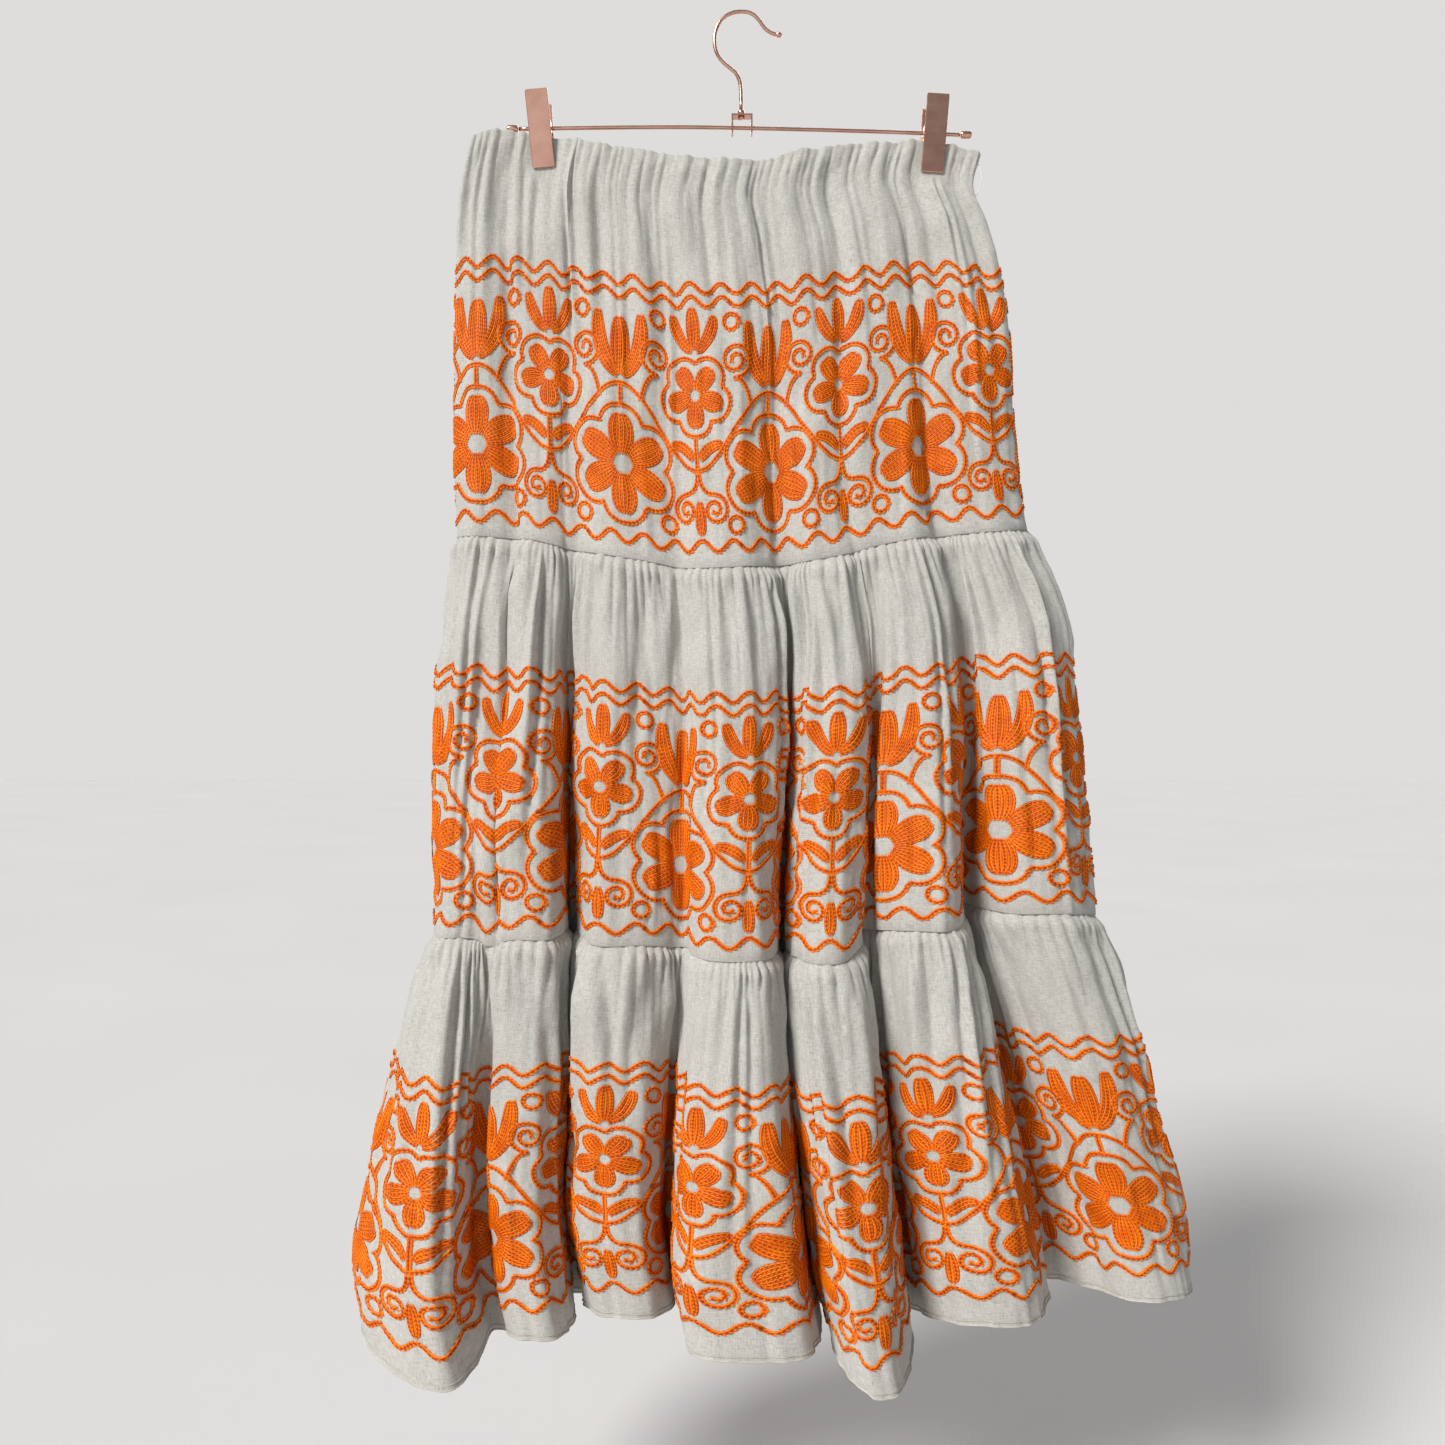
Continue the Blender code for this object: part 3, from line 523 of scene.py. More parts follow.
# How far from a seam the creases and rumples are held even, so that both sides of it meet
SEAM_EVEN = 16.0
SIDE_TURN = 0.4
Turn = namedtuple("Turn", "inward up")
# The waist's top edge turns over and runs down inside as the casing
WAIST_TURN = (Turn(0.5, 0.7), Turn(1.2, 1.0), Turn(1.8, 0.7), Turn(2.2, -0.3), Turn(2.3, -4.0),
              Turn(2.3, -12.0), Turn(2.2, -20.0), Turn(2.0, -28.0))
# A tier's gathered top edge goes up behind the tier above
SEAM_TURN = (Turn(1.2, 1.2), Turn(1.8, 4.5), Turn(1.8, 9.0))
# A tier's lower edge rolls in at the seam
EDGE_TURN = (Turn(0.3, -0.5), Turn(0.9, -0.8), Turn(1.6, -0.6), Turn(2.0, 0.2))


def scatter(index, salt):
    """Repeatable uneven number from 0 to 1 for each whole number."""
    value = np.sin(index * 12.9898 + salt * 78.233) * 43758.5453
    return value - np.floor(value)


def ease(value):
    value = np.clip(value, 0.0, 1.0)
    return value * value * (3.0 - 2.0 * value)


def gather_relief(panel, across, share, salt):
    """Gathers sewn into the top edge: fine uneven ridges that die out down the panel."""
    warp = (0.60 * np.sin(TAU * (3.1 * across + 0.13 * salt))
            + 0.0044 * panel.gathers * np.sin(TAU * (11.7 * across + 0.37 * salt))
            + 0.0017 * panel.gathers * np.sin(TAU * (23.3 * across + 0.71 * salt)))
    drift = share * (1.1 * np.sin(TAU * (2.3 * across + 0.29 * salt))
                     + 0.6 * np.sin(TAU * (5.9 * across + 0.53 * salt)))
    turn = panel.gathers * across + warp + drift
    index = np.floor(turn)
    ridge = np.sin(math.pi * (turn - index)) ** RIDGE_POWER
    high = RIDGE_HIGH.least + RIDGE_HIGH.added * scatter(index, salt)
    long = panel.reach * (RIDGE_LONG.least
                          + RIDGE_LONG.added * scatter(index, salt + 5) ** 3.0)
    rise = panel.sewn + (panel.full - panel.sewn) * ease(share / GATHER_RISE)
    fade = np.clip(1.0 - (share - GATHER_RISE) / long, 0.0, 1.0) ** FADE_POWER
    fine = ridge * high * rise * fade
    turn = BROAD_SHARE * panel.gathers * across + 1.2 * warp + 1.2 * drift + 0.4
    index = np.floor(turn)
    swell = np.sin(math.pi * (turn - index)) ** SWELL_POWER
    high = SWELL_HIGH.least + SWELL_HIGH.added * scatter(index, salt + 9)
    long = SWELL_LONG.least + SWELL_LONG.added * scatter(index, salt + 14)
    grow = (ease(share / BROAD_START)
            * np.clip(1.0 - share / long, 0.0, 1.0) ** BROAD_FADE_POWER)
    broad = BROAD_RISE * panel.full * swell * high * grow
    return fine + broad


def crease_relief(panel, across, share, width):
    relief = np.zeros_like(across * share)
    for crease in CREASES[panel.name]:
        middle = crease.across + crease.drift * (share - crease.top)
        down = (share - crease.top) / (crease.foot - crease.top)
        strength = np.sin(math.pi * np.clip(down, 0.0, 1.0)) ** 0.7
        off = (across - middle) * width / crease.half
        relief = relief + CREASE_SCALE * crease.depth * np.exp(-off * off) * strength
    return relief


def rumple(across, share, width, tall, salt):
    """Low wrinkles of a cloth that has been worn and washed."""
    s = across * width / RUMPLE_UNIT
    h = share * tall / RUMPLE_UNIT
    out = np.zeros_like(s * h)
    for k, (fs, fh, size) in enumerate(RUMPLES):
        phase = scatter(np.array(float(k)), salt)
        out = out + size * np.sin(TAU * (fs * s + fh * h + phase)
                                  + 1.7 * np.sin(TAU * (0.6 * fs * s - 0.9 * fh * h + 2 * phase)))
    return out


def clip_press(x, share):
    """Nothing stands out where the clips nip the waist."""
    press = np.ones_like(x)
    for clip in CLIPS:
        near = ease((np.abs(x - clip.foot_x) - HOLD_HALF) / HOLD_EASE)
        below = ease((share - HOLD_FOOT) / HOLD_FADE)
        press = np.minimum(press, near + (1.0 - near) * below)
    return press


class Sheet:
    """Grid of points and normals of one panel, with its cut width and row heights."""

    def __init__(self, panel, salt):
        self.panel = panel
        self.across = np.linspace(0.0, 1.0, panel.columns + 1)
        t = np.linspace(0.0, 1.0, panel.rows + 1)
        self.shares = ROW_EVEN * t + ROW_CLOSER * t * t
        at_knots = cloth_shares(panel.level, panel.front)
        rows = []
        sideways = []
        for share in self.shares:
            path, lengths, knot_lengths = panel_path(panel.level + share, panel.front)
            along = np.interp(self.across, at_knots, knot_lengths)
            rows.append(at_lengths(path, lengths, along))
            sideways.append(lengths[-1])
        base = np.array(rows)
        self.paths = np.array(sideways)
        self.width = self.paths[-1]
        normal, bend = self.flat_normals(base)
        share = self.shares[:, None]
        across = self.across[None, :]
        soft = crease_relief(panel, across, share, self.width)
        soft = soft + rumple(across, share, self.width, panel.tall, salt)
        if panel.level != WAIST:
            soft = soft * ease(share * panel.tall / SEAM_EVEN)
        if panel.level != SEAM_2:
            soft = soft * ease((1.0 - share) * panel.tall / SEAM_EVEN)
        relief = gather_relief(panel, across, share, salt) + soft
        if panel.level == WAIST:
            relief = relief * clip_press(base[:, :, 0], share)
        else:
            relief = relief - SEAM_TUCK * np.exp(-(share / SEAM_TUCK_TALL) ** 2)
        at_side = np.minimum(across, 1.0 - across) * self.width
        relief = relief * ease(at_side / SIDE_EASE)
        room = BEND_ROOM / np.maximum(np.abs(bend), 1e-4)
        relief = np.where((bend > 0.0) & (relief > room), room + BEND_GIVE * (relief - room),
                          relief)
        points = base + normal * relief[:, :, None]
        if panel.level == WAIST:
            crimp = relief[0] - relief[0].mean()
            points[:, :, 2] += EDGE_CRIMP * crimp * np.exp(-share * panel.tall / EDGE_CRIMP_TALL)
        points[:, 0, 1] = 0.0
        points[:, -1, 1] = 0.0
        self.points = points
        self.normals = self.surface_normals(points)

    def flat_normals(self, base):
        """Level normals that point out of the skirt, and how much each row bends inward."""
        tangent = np.gradient(base[:, :, :2], axis=1)
        length = np.linalg.norm(tangent, axis=2, keepdims=True)
        tangent = tangent / length
        normal = np.stack([tangent[:, :, 1], -tangent[:, :, 0], np.zeros(base.shape[:2])], 2)
        turn = np.gradient(tangent, axis=1) / length
        bend = (turn * normal[:, :, :2]).sum(2)
        outward = -1.0 if self.panel.front else 1.0
        normal[:, 0] = (outward, 0.0, 0.0)
        normal[:, -1] = (-outward, 0.0, 0.0)
        return normal, bend

    def surface_normals(self, points):
        down = np.gradient(points, axis=0)
        along = np.gradient(points, axis=1)
        return unit(np.cross(down, along))

    def at(self, across, share, lift):
        """Points that stand a distance off the cloth."""
        column = np.clip(across, 0.0, 1.0) * self.panel.columns
        row = np.interp(share, self.shares, np.arange(len(self.shares)))
        c = np.minimum(column.astype(int), self.panel.columns - 1)
        r = np.minimum(row.astype(int), self.panel.rows - 1)
        fc = (column - c)[..., None]
        fr = (row - r)[..., None]

        def blend(grid):
            top = grid[r, c] * (1.0 - fc) + grid[r, c + 1] * fc
            foot = grid[r + 1, c] * (1.0 - fc) + grid[r + 1, c + 1] * fc
            return top * (1.0 - fr) + foot * fr

        return blend(self.points) + unit(blend(self.normals)) * np.asarray(lift)[..., None]


def link_object(name, data):
    item = bpy.data.objects.new(name, data)
    bpy.context.scene.collection.objects.link(item)
    return item


def mesh_from(name, points, faces):
    mesh = bpy.data.meshes.new(name)
    mesh.from_pydata((np.asarray(points) * MM).tolist(), [], faces)
    mesh.update()
    mesh.polygons.foreach_set("use_smooth", [True] * len(mesh.polygons))
    return mesh


def mesh_of(name, shell):
    mesh = bpy.data.meshes.new(name)
    shell.to_mesh(mesh)
    shell.free()
    return mesh


def grid_faces(rows, columns):
    r, c = np.meshgrid(np.arange(rows - 1), np.arange(columns - 1), indexing="ij")
    corner = (r * columns + c).ravel()
    return np.stack([corner, corner + columns, corner + columns + 1, corner + 1], 1)


def give_uv(mesh, u, v):
    """Cloth coordinates in metres on every corner."""
    layer = mesh.uv_layers.new(name="cloth")
    index = np.zeros(len(mesh.loops), np.int64)
    mesh.loops.foreach_get("vertex_index", index)
    layer.data.foreach_set("uv", np.stack([u[index], v[index]], 1).ravel())


def turned_rows(sheet, row, turns, near_side=12.0):
    """Extra rows past an edge of the sheet, which turn inward and follow the cloth inside."""
    rows = []
    side = np.minimum(sheet.across, 1.0 - sheet.across) * sheet.paths[row]
    hold = np.clip(side / near_side, 0.0, 1.0)
    level = np.zeros(len(sheet.across))
    inward = -sheet.normals[row]
    inward[:, 2] = 0.0
    inward = unit(inward)
    for turn in turns:
        if row == 0 and turn.up < 0.0:
            base = sheet.at(sheet.across, level - turn.up / sheet.panel.tall, level)
        else:
            base = sheet.points[row] + np.array([0.0, 0.0, turn.up])
        depth = SIDE_TURN + (turn.inward - SIDE_TURN) * hold
        rows.append(base + inward * depth[:, None])
    return rows


def add_sheet(sheet, material):
    """The panel's cloth, with its edges turned over as they are sewn."""
    panel = sheet.panel
    turns = WAIST_TURN if panel.level == WAIST else SEAM_TURN
    above = turned_rows(sheet, 0, turns)[::-1]
    below = turned_rows(sheet, -1, EDGE_TURN) if panel.level != SEAM_2 else []
    grid = np.array(above + list(sheet.points) + below)
    reach = -np.array([math.hypot(turn.inward, turn.up) for turn in turns])[::-1]
    heights = np.concatenate([reach, sheet.shares * panel.tall,
                              panel.tall + 0.8 * np.arange(1, len(below) + 1)])
    rows, columns = grid.shape[:2]
    mesh = mesh_from("cloth_" + panel.name, grid.reshape(-1, 3),
                     grid_faces(rows, columns).tolist())
    u = np.tile(sheet.across * sheet.width, rows) * MM
    v = np.repeat(heights, columns) * MM
    give_uv(mesh, u, v)
    item = link_object("cloth_" + panel.name, mesh)
    mesh.materials.append(material)
    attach(item, "root")
    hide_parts(panel.name)
    return item


# Stitched band: one repeat, 135 wide and 213 tall, measured from its top left

CELL_WIDE = 135.0
CELL_TALL = 213.0
LINE_WIDE = 4.5
FILL_WIDE = 3.2
UNDER_LIFT = 0.28
# How far to each side of a place its direction on a petal's axis is taken, as a share
AXIS_STEP = 0.02
# Wavy border lines: the middle of each, their swing and their waves in a repeat
BORDER_LINES = (7.0, 17.5, 205.5)
BORDER_SWING = 4.2
BORDER_WAVES = 5.0
# Pitches of the stitches in lines and in fills
FRONT_PITCHES = (3.4, 3.1)
BACK_PITCHES = (4.2, 4.2)
MIDDLE_A = 33.75
MIDDLE_B = 101.25
VINE_Y = 118.0
VINE_SWING = 30.0


def vine(x):
    return VINE_Y - VINE_SWING * np.sin(TAU * x / CELL_WIDE)


def bezier(a, b, c, count=24):
    t = np.linspace(0.0, 1.0, count)[:, None]
    a, b, c = (np.array(p, float) for p in (a, b, c))
    return (1 - t) ** 2 * a + 2 * t * (1 - t) * b + t ** 2 * c


def ring(x, y, radius):
    angle = np.linspace(0.0, TAU, 25)
    return np.stack([x + radius * np.cos(angle), y + radius * np.sin(angle)], 1)


def volute(x, y, radius, turns, start, toward):
    """Round scroll that winds in from its outer end."""
    share = np.linspace(0.0, 1.0, int(32 * turns))
    angle = start + toward * TAU * turns * share
    size = radius * (1.0 - 0.80 * share)
    return np.stack([x + size * np.cos(angle), y + size * np.sin(angle)], 1)


def scallop(x, y, radius, dip, petals, turn):
    """Echo line round a blossom."""
    angle = np.linspace(0.0, TAU, 121)
    size = radius - dip * (1.0 - np.abs(np.cos(0.5 * petals * (angle - turn)))) ** 1.3
    return np.stack([x + size * np.cos(angle), y + size * np.sin(angle)], 1)


class Fill:
    """A filled petal or leaf along an axis, with its widest place and its width."""

    def __init__(self, axis, width, widest=0.6):
        self.axis = np.asarray(axis, float)
        self.width = width
        self.power = math.log(0.5) / math.log(widest)

    def frame_at(self, t):
        """Places along the axis, and the direction across it there."""
        lengths = path_lengths(self.axis)
        at, ahead, behind = (at_lengths(self.axis, lengths, (t + step) * lengths[-1])
                             for step in (0.0, AXIS_STEP, -AXIS_STEP))
        along = unit(ahead - behind)
        return at, np.stack([-along[:, 1], along[:, 0]], 1)

    def wide(self, t):
        q = t ** self.power
        return self.width * np.sqrt(np.maximum(1.0 - (2.0 * q - 1.0) ** 2, 0.0))

    def rows(self):
        count = max(2, int(round(self.width / FILL_WIDE)))
        t = np.linspace(0.0, 1.0, 41)
        at, side = self.frame_at(t)
        wide = self.wide(t)
        lines = []
        for k in range(count):
            f = (2.0 * (k + 0.5) / count - 1.0)
            keep = wide / count >= 1.25
            line = at + side * (0.5 * f * wide)[:, None]
            if keep.sum() > 3:
                lines.append(line[keep] if k % 2 else line[keep][::-1])
        return lines


def blossom(x, y, radius, petals, turn, core=5.0):
    fills = []
    wide = 1.12 * radius * math.sin(math.pi / petals)
    for k in range(petals):
        angle = turn + TAU * k / petals
        toward = np.array([math.cos(angle), math.sin(angle)])
        middle = np.array([x, y])
        fills.append(Fill([middle + toward * core, middle + toward * radius], wide, 0.60))
    return fills


def band_repeat():
    """Lines and fills of one repeat."""
    lines = []
    fills = []
    x = np.linspace(0.0, CELL_WIDE, 109)
    for middle in BORDER_LINES:
        wave = np.sin(TAU * BORDER_WAVES * x / CELL_WIDE)
        lines.append(np.stack([x, middle + BORDER_SWING * wave], 1))
    lines.append(np.stack([x, vine(x)], 1))
    # Large blossom below the vine, with its echo line and stem
    fills += blossom(MIDDLE_A, 150.0, 38.0, 6, -0.5 * math.pi)
    lines.append(scallop(MIDDLE_A, 150.0, 45.0, 9.0, 6, -0.5 * math.pi))
    lines.append(np.array([(MIDDLE_A, 90.0), (MIDDLE_A, 105.0)]))
    # Small blossom above the vine
    fills += blossom(MIDDLE_B, 90.0, 25.0, 5, 0.5 * math.pi, 4.0)
    lines.append(scallop(MIDDLE_B, 90.0, 32.0, 7.0, 5, 0.5 * math.pi))
    lines.append(np.array([(MIDDLE_B, 123.0), (MIDDLE_B, 146.0)]))
    for toward in (-1.0, 1.0):
        fills.append(Fill(bezier((MIDDLE_B + 3.0 * toward, 140.0), (MIDDLE_B + 10 * toward, 128.0),
                                 (MIDDLE_B + 24 * toward, 128.0)), 8.5, 0.5))
    # Tulip on the vine's crest
    fills.append(Fill([(MIDDLE_A, 82.0), (MIDDLE_A, 36.0)], 17.0, 0.5))
    for toward in (-1.0, 1.0):
        fills.append(Fill(bezier((MIDDLE_A + 2.0 * toward, 82.0), (MIDDLE_A + 21 * toward, 68.0),
                                 (MIDDLE_A + 19 * toward, 32.0)), 13.0, 0.45))
    # Scrolls beside the tulip
    for toward in (-1.0, 1.0):
        start = 0.5 * math.pi
        x0 = MIDDLE_A + 31.5 * toward
        lines.append(volute(x0, 63.0, 14.0, 1.75, start, toward))
        lines.append(bezier((x0, 77.0), (MIDDLE_A + 22 * toward, 79.0),
                            (MIDDLE_A + 18 * toward, vine(MIDDLE_A + 18.0))))
    # Leaf spray over the small blossom
    fills.append(Fill([(MIDDLE_B, 54.0), (MIDDLE_B, 22.0)], 12.0, 0.5))
    for toward in (-1.0, 1.0):
        fills.append(Fill(bezier((MIDDLE_B + 2 * toward, 55.0), (MIDDLE_B + 15 * toward, 50.0),
                                 (MIDDLE_B + 19 * toward, 28.0)), 11.0, 0.5))
    # Heart-shaped scrolls and a bud below the vine's dip
    for toward in (-1.0, 1.0):
        x0 = MIDDLE_B + 13.5 * toward
        lines.append(volute(x0, 178.0, 12.0, 1.6, -0.5 * math.pi, toward))
        lines.append(bezier((x0, 166.0), (MIDDLE_B + 2.0 * toward, 166.0),
                            (MIDDLE_B + 1.0 * toward, 152.0)))
    fills.append(Fill([(MIDDLE_B, 170.0), (MIDDLE_B, 197.0)], 9.0, 0.62))
    # Small rings
    for at_x, at_y in ((67.5, 33.0), (0.0, 33.0), (70.0, 190.0), (132.5, 190.0)):
        lines.append(ring(at_x, at_y, 6.2))
    return lines, fills


def resampled(line, pitch):
    """Even points along a line, the direction at each and the pitch that fits."""
    lengths = path_lengths(line)
    count = max(2, int(round(lengths[-1] / pitch)) + 1)
    points = at_lengths(line, lengths, np.linspace(0.0, lengths[-1], count))
    return points, unit(np.gradient(points, axis=0)), lengths[-1] / (count - 1)


# One side of a chain link: along it in steps of the pitch, across it in widths, and lift
Corner = namedtuple("Corner", "along across lift")
LINK = (
    Corner(-0.55, 0.05, 0.60),
    Corner(-0.04, 0.46, 0.00),
    Corner(0.80, 0.38, 0.62),
    Corner(0.34, 0.00, 0.42),
    Corner(0.12, 0.25, 1.00),
)
LINK_FACES = ((0, 1, 4), (1, 2, 4), (2, 3, 4), (3, 0, 4))
# The last of them faces the inside of the loop and takes the darker orange, painted shade in the
# loop's hollow
LINK_PAINTED_SHADE = (False, False, False, True)


def chain(line, width, pitch, lift):
    """Two slanting halves for each link of a row of chain stitch, in the cloth's plane."""
    points, along, pitch = resampled(line, pitch)
    side = np.stack([-along[:, 1], along[:, 0]], 1)
    verts = []
    for toward in (-1.0, 1.0):
        half = np.stack([points + along * (corner.along * pitch)
                         + side * (toward * corner.across * width) for corner in LINK], 1)
        verts.append(half)
    flat = np.stack(verts, 1).reshape(-1, 2)
    lifts = np.tile([corner.lift * lift for corner in LINK], 2 * len(points))
    return flat, lifts


def chain_faces(count):
    """Triangles of many half links, with the second half of each turned over."""
    starts = np.arange(count)[:, None, None] * len(LINK)
    faces = np.array(LINK_FACES)[None, :, :] + starts
    faces[1::2] = faces[1::2, :, ::-1]
    return faces.reshape(-1, 3)


def ribbon(line, width, pitch):
    """Flat strip that lies under a row of chain stitch and covers the cloth between links; its
    darker orange is painted shade in the gaps between links and rows.
    """
    points, along, _ = resampled(line, pitch)
    side = np.stack([-along[:, 1], along[:, 0]], 1) * (0.5 * width)
    count = len(points)
    k = np.arange(count - 1)
    faces = np.vstack([np.stack([k, k + 1, k + 1 + count], 1),
                       np.stack([k, k + 1 + count, k + count], 1)])
    return np.vstack([points - side, points + side]), faces


def band_flat(line_pitch, fill_pitch):
    """Flat points, lifts, faces and painted-shade flags of one repeat; flagged faces take the
    darker orange.
    """
    lines, fills = band_repeat()
    flats = []
    lifts = []
    faces = []
    under = []
    start = 0
    filled = [row for fill in fills for row in fill.rows()]
    for rows, width, cover, pitch, lift, lowest in (
            (filled, FILL_WIDE, 1.10, fill_pitch, 1.15, 0.22),
            (lines, LINE_WIDE, 0.74, line_pitch, 1.5, 0.10)):
        for row in rows:
            flat, strip = ribbon(row, cover * width, pitch)
            flats.append(flat)
            lifts.append(np.full(len(flat), UNDER_LIFT))
            faces.append(strip + start)
            # Every face of the strip takes the darker orange, painted shade between the rows
            under.append(np.ones(len(strip), bool))
            start += len(flat)
            flat, height = chain(row, width, pitch, lift)
            flats.append(flat)
            lifts.append(height + lowest)
            links = chain_faces(len(flat) // len(LINK))
            faces.append(links + start)
            # The inner face of each half link takes the darker orange, painted shade in the loop's
            # hollow
            under.append(np.tile(LINK_PAINTED_SHADE, len(links) // len(LINK_PAINTED_SHADE)))
            start += len(flat)
    return np.vstack(flats), np.concatenate(lifts), np.vstack(faces), np.concatenate(under)


def add_stitching(sheet, materials, line_pitch, fill_pitch):
    panel = sheet.panel
    flat, lifts, faces, under = band_flat(line_pitch, fill_pitch)
    repeat = sheet.width / panel.repeats
    all_points = []
    all_faces = []
    all_painted_shade = []
    start = 0
    down = np.clip((panel.band_top + flat[:, 1] * panel.band_tall / CELL_TALL) / panel.tall,
                   0.0, 0.995)
    for k in range(-1, panel.repeats + 1):
        across = (k * repeat + flat[:, 0] * repeat / CELL_WIDE) / sheet.width
        inside = (across > 0.002) & (across < 0.998)
        keep = inside[faces].all(1)
        if not keep.any():
            continue
        used = np.unique(faces[keep])
        number = np.full(len(flat), -1)
        number[used] = np.arange(len(used)) + start
        all_points.append(sheet.at(across[used], down[used], lifts[used]))
        all_faces.append(number[faces[keep]])
        all_painted_shade.append(under[keep])
        start += len(used)
    points = np.vstack(all_points)
    faces = np.vstack(all_faces)
    mesh = mesh_from("stitching_" + panel.name, points, faces.tolist())
    item = link_object("stitching_" + panel.name, mesh)
    for material in materials:
        mesh.materials.append(material)
    # Flagged faces take the second material, the darker orange that paints shade in hollows and
    # between rows
    mesh.polygons.foreach_set("material_index", np.concatenate(all_painted_shade).astype(np.int32))
    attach(item, "root")
    return item


# Tubes: hems, wires and threads


def tube_parts(points, radii, sides):
    """Corners and faces of a round tube through points, with a radius at each."""
    points = np.asarray(points, float)
    ahead = unit(np.gradient(points, axis=0))
    up = np.array([0.0, 1.0, 0.0])
    if np.abs(ahead @ up).max() > 0.95:
        up = np.array([0.1, 0.2, 1.0])
        up /= np.linalg.norm(up)
    first = unit(np.cross(ahead, up))
    second = np.cross(ahead, first)
    angle = np.arange(sides) * TAU / sides
    radii = np.broadcast_to(np.asarray(radii, float), (len(points),))
    rings = (points[:, None, :] + radii[:, None, None]
             * (first[:, None, :] * np.cos(angle)[None, :, None]
                + second[:, None, :] * np.sin(angle)[None, :, None]))
    count = len(points)
    faces = []
    for k in range(count - 1):
        a = k * sides
        b = a + sides
        for j in range(sides):
            m = (j + 1) % sides
            faces.append((a + j, a + m, b + m, b + j))
    faces.append(tuple(range(sides))[::-1])
    faces.append(tuple(range((count - 1) * sides, count * sides)))
    return rings.reshape(-1, 3), faces


def tube_mesh(name, points, radii, sides):
    return mesh_from(name, *tube_parts(points, radii, sides))


def smooth_path(knots, steps=10):
    """Smooth open curve through knots."""
    knots = np.asarray(knots, float)
    ends = np.vstack([2 * knots[0] - knots[1], knots, 2 * knots[-1] - knots[-2]])
    out = []
    for k in range(1, len(ends) - 2):
        p0, p1, p2, p3 = ends[k - 1: k + 3]
        for step in range(steps):
            t = step / steps
            out.append(0.5 * (2 * p1 + (p2 - p0) * t + (2 * p0 - 5 * p1 + 4 * p2 - p3) * t * t
                              + (3 * p1 - p0 - 3 * p2 + p3) * t ** 3))
    out.append(knots[-1])
    return np.array(out)


def finish_piece(name, mesh, material, nodes=()):
    item = link_object(name, mesh)
    mesh.materials.append(material)
    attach(item, "root")
    if nodes:
        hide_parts(*nodes)
    return item


HEM_STITCH = 1.3
HEM_RADIUS = 0.65
# Row of straight stitches above the hem, with the long stitches sunk at their ends
ROW_ABOVE = 3.2
ROW_STITCH = 1.5
ROW_RADIUS = 0.36
# Loop of thread sewn to the right side below the waist
LOOP_PATH = ((183.6, -0.6, -118.0), (186.2, -1.4, -122.5), (187.4, -1.7, -128.5),
             (186.4, -1.6, -136.0), (184.4, -1.2, -142.0), (181.6, -0.4, -145.5))
LOOP_RADIUS = 0.4


def add_hem(sheet, material):
    """Overlocked edge, corded by its threads, and the row of stitches above it."""
    panel = sheet.panel
    across = np.linspace(0.001, 0.999, int(sheet.width / HEM_STITCH))
    level = np.ones(len(across))
    points = sheet.at(across, level, 0.0 * level)
    radii = HEM_RADIUS * (1.0 + 0.22 * np.cos(math.pi * np.arange(len(points))))
    verts, faces = tube_parts(points, radii, 6)
    across = np.linspace(0.002, 0.998, int(sheet.width / ROW_STITCH))
    sunk = 0.30 + 0.16 * np.cos(math.pi * np.arange(len(across)))
    points = sheet.at(across, np.full(len(across), 1.0 - ROW_ABOVE / panel.tall), sunk)
    row_verts, row_faces = tube_parts(points, ROW_RADIUS, 4)
    faces += [tuple(k + len(verts) for k in face) for face in row_faces]
    mesh = mesh_from("hem_" + panel.name, np.vstack([verts, row_verts]), faces)
    return finish_piece("hem_" + panel.name, mesh, material)


def add_loop(material):
    mesh = tube_mesh("thread_loop", smooth_path(LOOP_PATH, 6), LOOP_RADIUS, 8)
    return finish_piece("thread_loop", mesh, material)


# Materials


